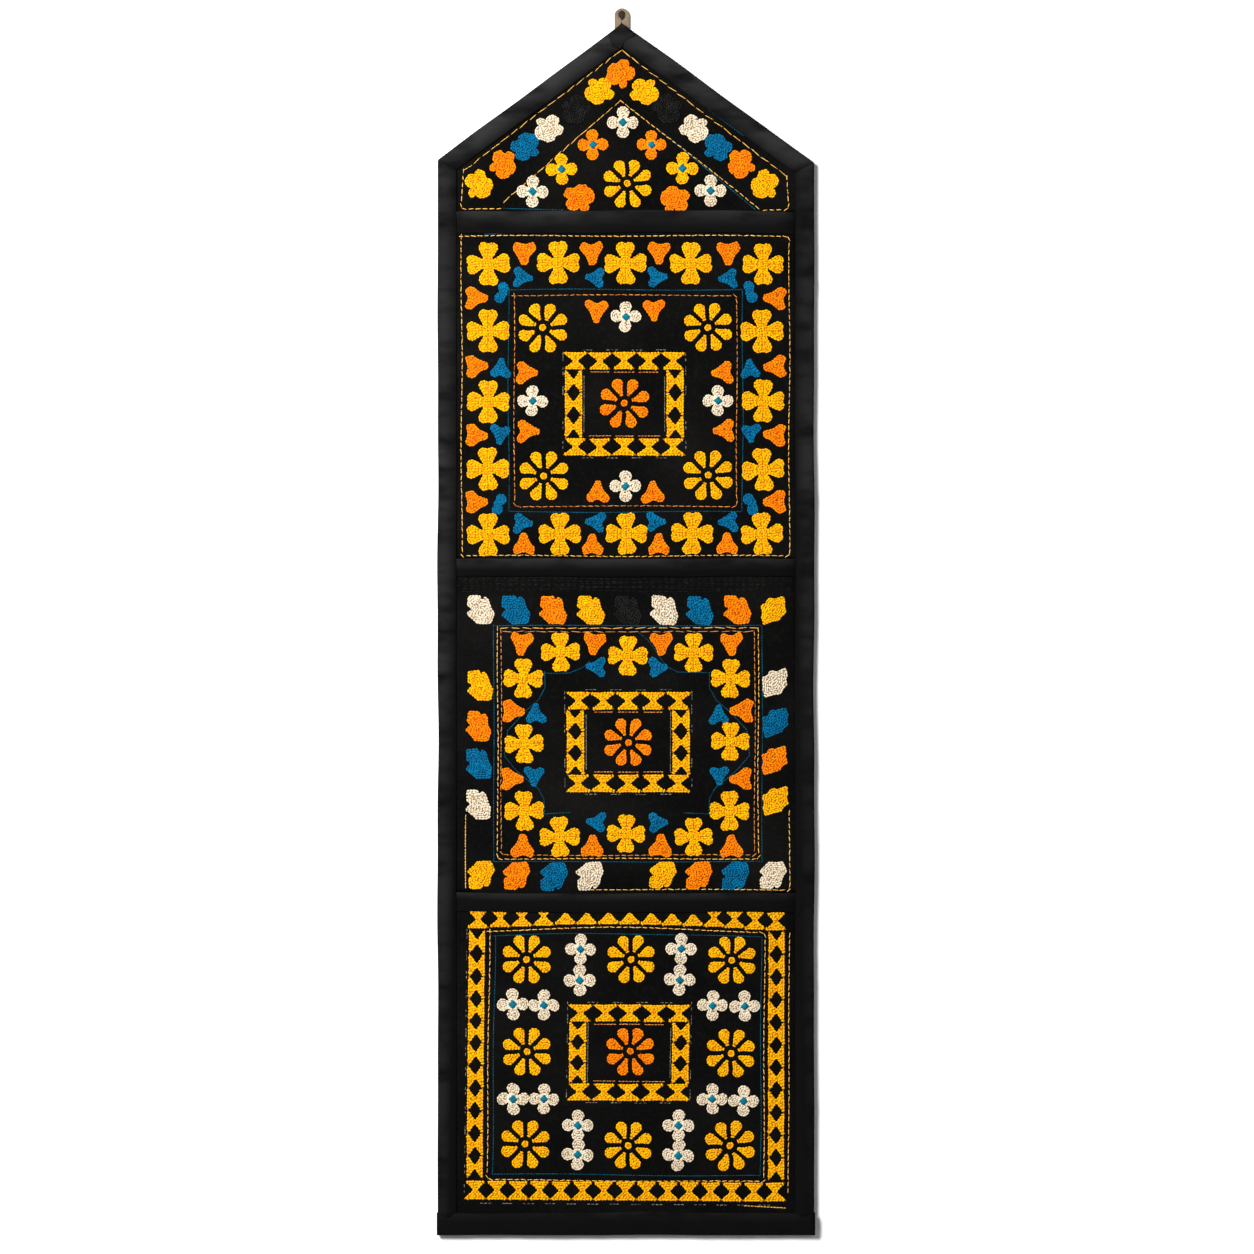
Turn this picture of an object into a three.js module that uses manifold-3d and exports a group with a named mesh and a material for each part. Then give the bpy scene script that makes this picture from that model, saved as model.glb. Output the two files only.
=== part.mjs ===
// An embroidered wall organizer: a gabled black cotton backing with a raised peak panel,
// three pockets one above another, tape bindings all round and a tape hanging loop.
// Units are millimetres. +Z is up, the front faces -Y, and the origin is the centre of the loop's eye.
import * as THREE from "three";
import { mergeVertices } from "three/addons/utils/BufferGeometryUtils.js";
import Module from "manifold-3d";

const wasm = await Module();
wasm.setup();

// Outline, as distances from the centre of the loop's eye.
const leftEdge = -122.4;
const rightEdge = 127.6;
const drops = { apex: 5.7, leftShoulder: 96.4, rightShoulder: 98.1, foot: 810.6 };

// Cloth, and the widths of the tapes that bind its edges. Pieces that are sewn together stand a gap apart.
const clothThickness = 1.0;
const seamGap = 0.3;
const sideTape = 12.5;
const gableTape = 12.8;
const footTape = 15;
const footOverhang = 0.6;

// Embroidery stands off its cloth, and its root holds it there.
const stitchRise = 0.8;
const stitchRoot = 0.5;

// One row for each pocket: the drop of its mouth and the height of the tape on the mouth.
const pockets = [
  { name: "pocket_top", mouth: 132.0, tape: 14.6 },
  { name: "pocket_middle", mouth: 362.4, tape: 11.6 },
  { name: "pocket_bottom", mouth: 584.0, tape: 12.4 },
];

// A pocket's mouth stands out from the backing, most at its middle.
const mouthStand = 12;
const bowColumns = 8;
const bowRows = 4;

// The hem of the cloth above a pocket hangs behind the pocket's mouth.
const hemDepth = 6;
const hemInset = 16;
const mouthTapeInset = 3.2;

// The hanging loop.
const loop = {
  halfWidth: 5.0,
  top: 4.6,
  foot: -34,
  eyeHalf: 2.4,
  eyeCentre: 0.9,
  eyeSides: -1.6,
  eyePoint: -3.7,
  slit: 0.25,
  thickness: 1.4,
};

// Depths, from the loop at the wall towards the front, which is -Y. Cloth under a tape ends short of its fold.
const layer = clothThickness + seamGap;
const backingInset = layer + 1;
const frontInset = layer + 2;
const backFlapY = -loop.thickness / 2 - seamGap;
const backingY = backFlapY - layer;
const panelY = backingY - layer;
const frontFlapY = panelY - layer;

const insideLeft = leftEdge + sideTape;
const insideRight = rightEdge - sideTape;
const insideWidth = insideRight - insideLeft;
const insideCentre = (insideLeft + insideRight) / 2;

const black = new THREE.MeshStandardMaterial({ color: 0x16161a, roughness: 0.92, metalness: 0 });
const blackTape = new THREE.MeshStandardMaterial({ color: 0x222226, roughness: 0.85, metalness: 0 });
const tanTape = new THREE.MeshStandardMaterial({ color: 0xb99a73, roughness: 0.8, metalness: 0 });

// A closed three.js geometry as a manifold solid.
function toSolid(geometry) {
  const bare = geometry.clone();
  bare.deleteAttribute("normal");
  bare.deleteAttribute("uv");
  const merged = mergeVertices(bare, 1e-4);
  return new wasm.Manifold(
    new wasm.Mesh({
      numProp: 3,
      vertProperties: merged.attributes.position.array,
      triVerts: new Uint32Array(merged.index.array),
    }),
  );
}

function toGeometry(solid) {
  const mesh = solid.getMesh();
  const geometry = new THREE.BufferGeometry();
  geometry.setAttribute("position", new THREE.BufferAttribute(mesh.vertProperties, 3));
  geometry.setIndex(new THREE.BufferAttribute(mesh.triVerts, 1));
  geometry.computeVertexNormals();
  return geometry;
}

// Moves every point of a geometry by a function of its place.
function reshape(geometry, move) {
  const place = geometry.attributes.position;
  const point = new THREE.Vector3();
  for (let i = 0; i < place.count; i += 1) {
    move(point.fromBufferAttribute(place, i));
    place.setXYZ(i, point.x, point.y, point.z);
  }
  geometry.computeVertexNormals();
  return geometry;
}

function shapeFrom(points) {
  return new THREE.Shape(points.map(([x, y]) => new THREE.Vector2(x, y)));
}

// Cloth cut to an outline in X and Z, its back face at the given depth.
function flatCloth(outline, backY) {
  const settings = { depth: clothThickness, bevelEnabled: false };
  const geometry = new THREE.ExtrudeGeometry(shapeFrom(outline), settings);
  geometry.rotateX(Math.PI / 2);
  geometry.translate(0, backY, 0);
  return geometry;
}

// The slow unevenness of a hand-sewn edge: a long wave and a short one.
function waver(along, phase) {
  return 0.35 * Math.sin(along / 31 + phase) + 0.2 * Math.sin(along / 13 + 2 * phase);
}

// The gabled outline, drawn in by one distance from every edge.
function gabledOutline(inset, footDrop) {
  const slopeLeft = (drops.leftShoulder - drops.apex) / -leftEdge;
  const slopeRight = (drops.rightShoulder - drops.apex) / rightEdge;
  const lowerLeft = inset * Math.hypot(1, slopeLeft);
  const lowerRight = inset * Math.hypot(1, slopeRight);
  const apexX = (lowerRight - lowerLeft) / (slopeLeft + slopeRight);
  const apexZ = -drops.apex - lowerLeft + slopeLeft * apexX;
  const left = leftEdge + inset;
  const right = rightEdge - inset;
  return [
    [left, -footDrop],
    [right, -footDrop],
    [right, -drops.apex - lowerRight - slopeRight * right],
    [apexX, apexZ],
    [left, -drops.apex - lowerLeft + slopeLeft * left],
  ];
}

// The bow of a pocket's front is faceted. Its columns close up towards the side seams, and its rows are even.
function columnAt(i) {
  return insideCentre + (insideWidth / 2) * Math.sin((i / bowColumns - 0.5) * Math.PI);
}

function columnRise(i) {
  return Math.sqrt(Math.sin((Math.PI * (columnAt(i) - insideLeft)) / insideWidth));
}

function rowRise(j) {
  return (j / bowRows) ** 0.85;
}

// How far a pocket's front stands out from its seams at a place.
function bow(pocket, x, z) {
  const inside = THREE.MathUtils.clamp(x, insideLeft, insideRight);
  const angle = Math.asin((2 * (inside - insideCentre)) / insideWidth);
  const i = Math.min(Math.floor((angle / Math.PI + 0.5) * bowColumns), bowColumns - 1);
  const share = (inside - columnAt(i)) / (columnAt(i + 1) - columnAt(i));
  const height = (z + pocket.seam) / (pocket.seam - pocket.mouth);
  const up = THREE.MathUtils.clamp(height, 0, 1) * bowRows;
  const j = Math.min(Math.floor(up), bowRows - 1);
  const across = THREE.MathUtils.lerp(columnRise(i), columnRise(i + 1), share);
  return mouthStand * across * THREE.MathUtils.lerp(rowRise(j), rowRise(j + 1), up - j);
}

// A U-shaped tape section: distance in from the folded edge, and depth. The slot takes the cloth it binds.
function tapeSection(width, frontY, backY) {
  const innerFront = frontY + clothThickness;
  const innerBack = backY - clothThickness;
  return [
    [0, backY],
    [0, frontY],
    [width, frontY],
    [width, innerFront],
    [clothThickness, innerFront],
    [clothThickness, innerBack],
    [width, innerBack],
    [width, backY],
  ];
}

// A tape folded over the straight edge from start to end, where its ends are cut along the given directions.
// The folded edge wavers, and the inner edges of the tape half as much.
function boundEdge({ start, end, startCut, endCut, width, steps, phase }) {
  const along = new THREE.Vector2().subVectors(end, start).normalize();
  const inward = new THREE.Vector2(-along.y, along.x);
  const length = start.distanceTo(end);
  const section = tapeSection(width, frontFlapY - clothThickness, backFlapY);
  const geometry = new THREE.ExtrudeGeometry(shapeFrom(section), { depth: 1, steps, bevelEnabled: false });
  const endPoint = (corner, cut, inset, gap) => {
    const point = corner.clone().addScaledVector(cut, inset / cut.dot(inward));
    return point.addScaledVector(along, gap);
  };
  return reshape(geometry, (point) => {
    const share = 1 - point.z;
    const wave = waver(share * length, phase) * Math.sin(Math.PI * share);
    const inset = point.x + (point.x < width ? wave : wave / 2);
    const first = endPoint(start, startCut, inset, seamGap / 2);
    const last = endPoint(end, endCut, inset, -seamGap / 2);
    first.lerp(last, share);
    point.set(first.x, point.y, first.y);
  });
}

// The tape over a pocket's mouth: a U upside down on the top edge, which bows out with the pocket.
function mouthTape(pocket) {
  const left = insideLeft + mouthTapeInset;
  const right = insideRight - mouthTapeInset;
  const front = panelY - clothThickness - layer;
  const back = panelY + layer;
  const section = tapeSection(pocket.tape, front, back);
  const settings = { depth: bowColumns, steps: bowColumns, bevelEnabled: false };
  const geometry = new THREE.ExtrudeGeometry(shapeFrom(section), settings);
  return reshape(geometry, (point) => {
    const x = THREE.MathUtils.clamp(columnAt(point.z), left, right);
    const z = -pocket.mouth + layer - point.x;
    point.set(x, point.y - bow(pocket, x, z), z);
  });
}

// A point at an angle in degrees and a distance.
function polar(degrees, radius) {
  const angle = THREE.MathUtils.degToRad(degrees);
  return [radius * Math.cos(angle), radius * Math.sin(angle)];
}

// Repeats the outline of one petal, given as angles and distances, round a centre.
function petalRing(petal, count) {
  const turns = Array.from({ length: count }, (_, i) => (i * 360) / count);
  return turns.flatMap((turn) => petal.map(([degrees, radius]) => polar(degrees + turn, radius)));
}

// Outlines of the motifs for a radius of one. A clover has four heart-shaped petals, a blossom four round ones
// and a daisy eight. A bud has two lobes over a tail that points down. A leaf has a square lobe and a finger
// above, a point at each side and a broad foot.
const cloverPetal = [
  [-45, 0.44],
  [-37, 0.86],
  [-17, 1],
  [0, 0.87],
  [17, 1],
  [37, 0.86],
];
const blossomPetal = [
  [-45, 0.5],
  [-22, 0.93],
  [0, 1],
  [22, 0.93],
];
const daisyPetal = [
  [0, 0.3],
  [12, 0.97],
  [33, 0.97],
];
const motifOutlines = {
  clover: petalRing(cloverPetal, 4),
  blossom: petalRing(blossomPetal, 4),
  daisy: petalRing(daisyPetal, 8),
  bud: [
    [0, -1],
    [0.4, -0.35],
    [0.95, 0.35],
    [0.7, 0.85],
    [0, 0.6],
    [-0.7, 0.85],
    [-0.95, 0.35],
    [-0.4, -0.35],
  ],
  leaf: [
    [-0.95, 0.9],
    [-0.95, 0.1],
    [-0.7, 0.04],
    [-1, -0.4],
    [-0.4, -0.95],
    [0.7, -0.95],
    [1.03, -0.4],
    [0.67, 0.9],
    [0.15, 0.6],
    [0.15, 0.9],
  ],
};

// Radii of the motifs. A small bud stands beside a clover.
const radii = { clover: 14.1, blossom: 11.2, bud: 8, smallBud: 6.7, leaf: 9.6, daisy: 17 };

// One motif: its outline, turned about its centre, or mirrored where flip is -1.
function motif(kind, x, z, turn = 0, flip = 1) {
  const outline = motifOutlines[kind === "smallBud" ? "bud" : kind];
  const [c, s] = polar(turn, radii[kind]);
  return outline.map(([u, v]) => [x + flip * u * c - v * s, z + flip * u * s + v * c]);
}

// Motifs of one kind at x and z, and mirrored to the left, where the turn is mirrored too.
function bothSides(kind, x, z, turn = 0) {
  return [motif(kind, x, z, turn), motif(kind, -x, z, -turn, -1)];
}

// Motifs of one kind in the four quarters. Those in the lower half are turned upside down.
function quarters(kind, x, z, turn = 0) {
  return [...bothSides(kind, x, z, turn), ...bothSides(kind, x, -z, 180 - turn)];
}

// Motifs of one kind at the crossings of lines across and lines up, but not inside the ring that they make.
function ring(kind, across, up) {
  const onRim = (i, list) => i === 0 || i === list.length - 1;
  return across.flatMap((x, i) =>
    up.filter((_, j) => onRim(i, across) || onRim(j, up)).map((z) => motif(kind, x, z)),
  );
}

// The middles between neighbours in a list.
function between(list) {
  return list.slice(1).map((value, i) => (value + list[i]) / 2);
}

// An hourglass of a lattice band, with diamonds of bare cloth left between it and its neighbours.
function hourglass(x, z, length, band, isUpright) {
  const waist = 0.17 * length;
  const u = 0.46 * length;
  const v = band / 2;
  const outline = [
    [-u, -v],
    [u, -v],
    [waist, 0],
    [u, v],
    [-u, v],
    [-waist, 0],
  ];
  return outline.map(([a, b]) => (isUpright ? [x - b, z + a] : [x + a, z + b]));
}

// A rectangular frame of lattice round a centre, with a count of hourglasses along each side.
function latticeFrame({ width, height, band, across, up, low = 0 }) {
  const steps = (count, length) => Array.from({ length: count }, (_, i) => ((i + 0.5) / count - 0.5) * length);
  const inner = height - 2 * band;
  const sides = [-0.5, 0.5];
  return sides.flatMap((side) => [
    ...steps(across, width).map((x) => hourglass(x, side * (height - band) - low, width / across, band, false)),
    ...steps(up, inner).map((z) => hourglass(side * (width - band), z - low, inner / up, band, true)),
  ]);
}

// Moves outlines so that their centre is at a place on the cloth.
function centredAt(x, drop, outlines) {
  return outlines.map((outline) => outline.map(([u, v]) => [x + u, v - drop]));
}

// Adds the raised stitching to cloth whose front follows a depth function.
function embroider(cloth, outlines, frontAt) {
  const settings = { depth: stitchRise + stitchRoot, bevelEnabled: false };
  const solids = outlines.map((outline) => {
    const raised = new THREE.ExtrudeGeometry(shapeFrom(outline), settings);
    raised.rotateX(Math.PI / 2);
    reshape(raised, (point) => {
      point.y += stitchRoot + frontAt(point.x, point.z);
    });
    return toSolid(raised);
  });
  return toGeometry(solids.reduce((whole, raised) => whole.add(raised), toSolid(cloth)));
}

// Rows of motifs follow the slopes of the peak, and leaves and a daisy stand along its foot.
function peakMotifs() {
  const pairs = [
    { kind: "leaf", x: 14.5, drop: 50.5, turn: 20 },
    { kind: "leaf", x: 48, drop: 76, turn: -30 },
    { kind: "leaf", x: 63.5, drop: 88, turn: 20 },
    { kind: "leaf", x: 78.5, drop: 100, turn: -20 },
    { kind: "leaf", x: 93.5, drop: 114, turn: 30 },
    { kind: "leaf", x: 31.5, drop: 118.5, turn: 0 },
    { kind: "blossom", x: 20, drop: 86.5, turn: 0 },
    { kind: "blossom", x: 40, drop: 102.7, turn: 0 },
    { kind: "blossom", x: 59.3, drop: 117.8, turn: 0 },
  ];
  return [
    ...pairs.flatMap(({ kind, x, drop, turn }) => bothSides(kind, x, -drop, turn)),
    motif("leaf", -0.8, -39, 45),
    motif("blossom", 0.5, -72),
    motif("daisy", 3, -113),
  ];
}

// Clovers with buds between them run round the rim, and daisies and blossoms round a small lattice frame.
function topPocketMotifs() {
  const across = [-91, -44, 0, 44, 91];
  const up = [91, 46.5, 0, -45, -88];
  const budRim = { x: 99, z: 98 };
  return centredAt(2.4, 257, [
    ...ring("clover", across, up),
    ...between(across).flatMap((x) => [motif("bud", x, budRim.z), motif("bud", x, 4 - budRim.z, 180)]),
    ...between(up).flatMap((z) => bothSides("bud", budRim.x, z, -90)),
    ...quarters("smallBud", 69, 81.5, -90),
    ...quarters("smallBud", 20.5, 81.5, 90),
    ...quarters("smallBud", 83, 21.5, 180),
    ...quarters("smallBud", 82, 71.5),
    ...quarters("daisy", 54.5, 49),
    motif("daisy", 0, 0),
    ...bothSides("blossom", 61.5, 0),
    motif("blossom", 0, 56.5),
    motif("blossom", 0, -56.5),
    ...quarters("bud", 18.4, 60),
    ...quarters("bud", 65, 19, -90),
    ...latticeFrame({ width: 79.2, height: 68.7, band: 11.6, across: 5, up: 3 }),
  ]);
}

// Leaves run round the rim, and clovers with buds between them round a small lattice frame.
function middlePocketMotifs() {
  const leafColumns = [96.5, 73, 48.5, 24];
  const leafRows = [39.5, 12.5];
  const clovers = [
    { x: 44.2, z: 61 },
    { x: 68.5, z: 44 },
  ];
  return centredAt(3.4, 485, [
    ...leafColumns.flatMap((x) => quarters("leaf", x, 87.5)),
    ...leafRows.flatMap((z) => quarters("leaf", 98, z)),
    ...clovers.flatMap(({ x, z }) => quarters("clover", x, z)),
    ...bothSides("clover", 68.5, 0),
    motif("clover", 0, 59.5),
    motif("clover", 0, -59.5),
    ...quarters("bud", 69.5, 67),
    ...quarters("bud", 22.5, 67),
    ...quarters("bud", 75.5, 22.5, -90),
    ...quarters("smallBud", 20.5, 51.5, 90),
    ...quarters("smallBud", 61, 20.5, 180),
    motif("daisy", 0, 0),
    ...latticeFrame({ width: 81.9, height: 67, band: 11.8, across: 5, up: 3 }),
  ]);
}

// A wide lattice border round daisies, pairs of blossoms and a small lattice frame.
function bottomPocketMotifs() {
  const blossoms = [
    { x: 33.5, z: 69 },
    { x: 33.5, z: 48 },
    { x: 55.5, z: 31.3 },
    { x: 77, z: 31.3 },
  ];
  return centredAt(3.4, 689.5, [
    ...ring("daisy", [-68, 0, 68], [61.5, 0, -61.5]),
    motif("daisy", 0, 0),
    ...blossoms.flatMap(({ x, z }) => quarters("blossom", x, z)),
    ...latticeFrame({ width: 81.4, height: 64.8, band: 11.5, across: 5, up: 3 }),
    ...latticeFrame({ width: 212, height: 192.4, band: 12, across: 15, up: 11, low: 3.4 }),
  ]);
}

// The peak panel, with a hem that hangs behind the first pocket's mouth.
function peakPanel() {
  const [, , rightTop, apex, leftTop] = gabledOutline(frontInset, 0);
  const foot = -pockets[0].mouth + layer + seamGap;
  const hem = foot - hemDepth;
  const outline = [
    [leftTop[0], foot],
    [insideLeft + hemInset, foot],
    [insideLeft + hemInset, hem],
    [insideRight - hemInset, hem],
    [insideRight - hemInset, foot],
    [rightTop[0], foot],
    rightTop,
    apex,
    leftTop,
  ];
  return embroider(flatCloth(outline, panelY), peakMotifs(), () => panelY - clothThickness);
}

// A pocket's front: its sides and foot lie flat in the seams, and its mouth stands out. The lowest pocket has
// a flat row more, under the foot tape, and the others a hem behind the mouth below them.
function pocketFront(pocket, outlines) {
  const { foot, seam, mouth } = pocket;
  const hasHem = foot === seam;
  const footRows = hasHem ? 0 : 1;
  const steps = bowRows + footRows;
  const columnPlace = (i) => {
    if (i < 0) return leftEdge + frontInset;
    if (i > bowColumns) return rightEdge - frontInset;
    return columnAt(i);
  };
  const rowPlace = (j) => (j < 0 ? -foot : -THREE.MathUtils.lerp(seam, mouth, j / bowRows));
  const sheet = new THREE.BoxGeometry(bowColumns + 2, clothThickness, steps, bowColumns + 2, 1, steps);
  reshape(sheet, (point) => {
    const x = columnPlace(point.x + bowColumns / 2);
    const z = rowPlace(point.z + steps / 2 - footRows);
    point.set(x, panelY + point.y - clothThickness / 2 - bow(pocket, x, z), z);
  });
  const cloth = hasHem ? withHem(sheet, foot) : sheet;
  return embroider(cloth, outlines, (x, z) => panelY - clothThickness - bow(pocket, x, z));
}

function withHem(sheet, foot) {
  const hem = [
    [insideLeft + hemInset, -foot - hemDepth],
    [insideRight - hemInset, -foot - hemDepth],
    [insideRight - hemInset, clothThickness - foot],
    [insideLeft + hemInset, clothThickness - foot],
  ];
  return toGeometry(toSolid(sheet).add(toSolid(flatCloth(hem, panelY))));
}

// The tape of the loop is folded in two. Its legs lie side by side behind the apex, and part round the eye.
function hangingLoop() {
  const outer = loop.halfWidth;
  const crown = loop.top - outer;
  const shape = new THREE.Shape();
  shape.moveTo(-outer, loop.foot);
  shape.lineTo(-loop.slit, loop.foot);
  shape.lineTo(-loop.slit, loop.eyePoint);
  shape.lineTo(-loop.eyeHalf, loop.eyeSides);
  shape.lineTo(-loop.eyeHalf, loop.eyeCentre);
  shape.absarc(0, loop.eyeCentre, loop.eyeHalf, Math.PI, 0, true);
  shape.lineTo(loop.eyeHalf, loop.eyeSides);
  shape.lineTo(loop.slit, loop.eyePoint);
  shape.lineTo(loop.slit, loop.foot);
  shape.lineTo(outer, loop.foot);
  shape.lineTo(outer, crown);
  shape.absarc(0, crown, outer, 0, Math.PI, false);
  shape.lineTo(-outer, loop.foot);
  const settings = { depth: loop.thickness, bevelEnabled: false, curveSegments: 8 };
  const geometry = new THREE.ExtrudeGeometry(shape, settings);
  geometry.rotateX(Math.PI / 2);
  geometry.translate(0, loop.thickness / 2, 0);
  return geometry;
}

// The corner points of the outline, and the cuts of the tape ends that meet there.
const corner = {
  apex: new THREE.Vector2(0, -drops.apex),
  leftShoulder: new THREE.Vector2(leftEdge, -drops.leftShoulder),
  rightShoulder: new THREE.Vector2(rightEdge, -drops.rightShoulder),
  leftFoot: new THREE.Vector2(leftEdge, -drops.foot + footTape),
  rightFoot: new THREE.Vector2(rightEdge, -drops.foot + footTape),
};

// The direction that halves the corner between two neighbours, into the cloth.
function mitre(before, at, after) {
  const a = new THREE.Vector2().subVectors(before, at).normalize();
  const b = new THREE.Vector2().subVectors(after, at).normalize();
  return a.add(b).normalize();
}

const cuts = {
  apex: mitre(corner.rightShoulder, corner.apex, corner.leftShoulder),
  leftShoulder: mitre(corner.apex, corner.leftShoulder, corner.leftFoot),
  rightShoulder: mitre(corner.rightFoot, corner.rightShoulder, corner.apex),
  left: new THREE.Vector2(1, 0),
  right: new THREE.Vector2(-1, 0),
};

const bindings = [
  {
    name: "binding_gable_left",
    start: corner.apex,
    end: corner.leftShoulder,
    startCut: cuts.apex,
    endCut: cuts.leftShoulder,
    width: gableTape,
    steps: 6,
    phase: 0.4,
  },
  {
    name: "binding_left",
    start: corner.leftShoulder,
    end: corner.leftFoot,
    startCut: cuts.leftShoulder,
    endCut: cuts.left,
    width: sideTape,
    steps: 16,
    phase: 1.7,
  },
  {
    name: "binding_right",
    start: corner.rightFoot,
    end: corner.rightShoulder,
    startCut: cuts.right,
    endCut: cuts.rightShoulder,
    width: sideTape,
    steps: 16,
    phase: 2.9,
  },
  {
    name: "binding_gable_right",
    start: corner.rightShoulder,
    end: corner.apex,
    startCut: cuts.rightShoulder,
    endCut: cuts.apex,
    width: gableTape,
    steps: 6,
    phase: 0.9,
  },
];

// The foot tape is a plain U across the whole width, its ends a little proud of the side tapes.
function footBinding() {
  const width = rightEdge - leftEdge + 2 * footOverhang;
  const section = tapeSection(footTape - seamGap, frontFlapY - clothThickness, backFlapY);
  const geometry = new THREE.ExtrudeGeometry(shapeFrom(section), { depth: width, bevelEnabled: false });
  return reshape(geometry, (point) => {
    point.set(rightEdge + footOverhang - point.z, point.y, point.x - drops.foot);
  });
}

const organizer = new THREE.Group();

function addPiece(name, geometry, material) {
  const piece = new THREE.Mesh(geometry, material);
  piece.name = name;
  organizer.add(piece);
}

addPiece("backing", flatCloth(gabledOutline(backingInset, drops.foot - backingInset), backingY), black);
addPiece("peak_panel", peakPanel(), black);

// A pocket's cloth runs down to the mouth below it, or into the foot tape.
const pocketMotifs = [topPocketMotifs(), middlePocketMotifs(), bottomPocketMotifs()];
pockets.forEach(({ name, mouth, tape }, i) => {
  const next = pockets[i + 1];
  const foot = next ? next.mouth - layer - seamGap : drops.foot - backingInset;
  const seam = next ? foot : drops.foot - footTape;
  const pocket = { mouth, tape, foot, seam };
  addPiece(`${name}_front`, pocketFront(pocket, pocketMotifs[i]), black);
  addPiece(`${name}_mouth_tape`, mouthTape(pocket), blackTape);
});

bindings.forEach((binding) => addPiece(binding.name, boundEdge(binding), blackTape));
addPiece("binding_foot", footBinding(), blackTape);
addPiece("hanging_loop", hangingLoop(), tanTape);

export default organizer;
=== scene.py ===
# Embroidered wall organizer in black cotton, dressed over its CAD solids.
# Sizes in the dictionaries are millimetres: x to the right, z up, y into the wall. A drop is measured
# downwards from the eye of the hanging loop.
import math
import bmesh
import bpy
import numpy as np
from mathutils.geometry import delaunay_2d_cdt
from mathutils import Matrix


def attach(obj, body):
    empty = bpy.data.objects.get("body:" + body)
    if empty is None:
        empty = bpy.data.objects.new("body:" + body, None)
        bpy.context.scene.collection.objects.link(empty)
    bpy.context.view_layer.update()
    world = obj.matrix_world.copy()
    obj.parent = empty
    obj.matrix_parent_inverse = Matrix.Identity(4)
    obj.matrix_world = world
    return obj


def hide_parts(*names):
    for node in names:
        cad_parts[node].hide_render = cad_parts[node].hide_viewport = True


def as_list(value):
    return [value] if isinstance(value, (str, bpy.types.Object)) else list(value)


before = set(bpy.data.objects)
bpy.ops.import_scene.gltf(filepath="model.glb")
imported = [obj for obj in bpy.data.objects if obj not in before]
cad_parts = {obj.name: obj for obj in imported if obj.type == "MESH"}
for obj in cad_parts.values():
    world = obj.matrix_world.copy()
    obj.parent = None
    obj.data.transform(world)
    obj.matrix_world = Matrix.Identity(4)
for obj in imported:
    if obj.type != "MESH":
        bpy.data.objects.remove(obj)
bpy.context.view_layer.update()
mm = 0.001
chance = np.random.default_rng(11)

# The cut of the hanging. Its cloths end short of the folds of the bindings.
cut = {
    "left": -122.4,
    "right": 127.6,
    "apex": 5.7,
    "leftShoulder": 96.4,
    "rightShoulder": 98.1,
    "foot": 810.6,
    "sideTape": 12.5,
    "gableTape": 12.8,
    "footTape": 15.0,
    "footOverhang": 0.6,
    "ridge": 0.8,
    "backingInset": 2.3,
    "frontInset": 3.3,
}
# How its layers lie one over another. What lies further out than tapeMiddle is a binding's front flap.
depth = {
    "clothFront": -4.6,
    "cloth": 0.6,
    "backing": -2.8,
    "tape": 0.7,
    "tapeFront": -5.5,
    "tapeMiddle": -3.0,
    "tapeBack": -1.4,
    "loop": 1.2,
    "wall": 1.2,
}
pockets = {
    "top": {"mouth": 132.0, "tape": 14.6, "foot": 360.8, "seam": 360.8},
    "middle": {"mouth": 362.4, "tape": 11.6, "foot": 582.4, "seam": 582.4},
    "bottom": {"mouth": 584.0, "tape": 12.4, "foot": 808.3, "seam": 795.6},
}
# How far the empty pockets stand out, and the soft troughs in their cloth.
hang = {"stand": 12.0, "trough": 0.45, "pucker": 0.12, "hem": 6.0}

insideLeft = cut["left"] + cut["sideTape"]
insideRight = cut["right"] - cut["sideTape"]
insideWidth = insideRight - insideLeft


# A node socket that takes part in Python arithmetic.
class Wire:
    def __init__(self, graph, socket):
        self.graph = graph
        self.socket = socket

    def maths(self, operation, *values):
        return self.graph.add("ShaderNodeMath", {"operation": operation}, dict(enumerate(values)))

    def __add__(self, other):
        return self.maths("ADD", self, other)

    def __radd__(self, other):
        return self.maths("ADD", other, self)

    def __sub__(self, other):
        return self.maths("SUBTRACT", self, other)

    def __rsub__(self, other):
        return self.maths("SUBTRACT", other, self)

    def __mul__(self, other):
        return self.maths("MULTIPLY", self, other)

    def sine(self):
        return self.maths("SINE", self)

    def least(self, other):
        return self.maths("MINIMUM", self, other)

    def most(self, other):
        return self.maths("MAXIMUM", self, other)


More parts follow.
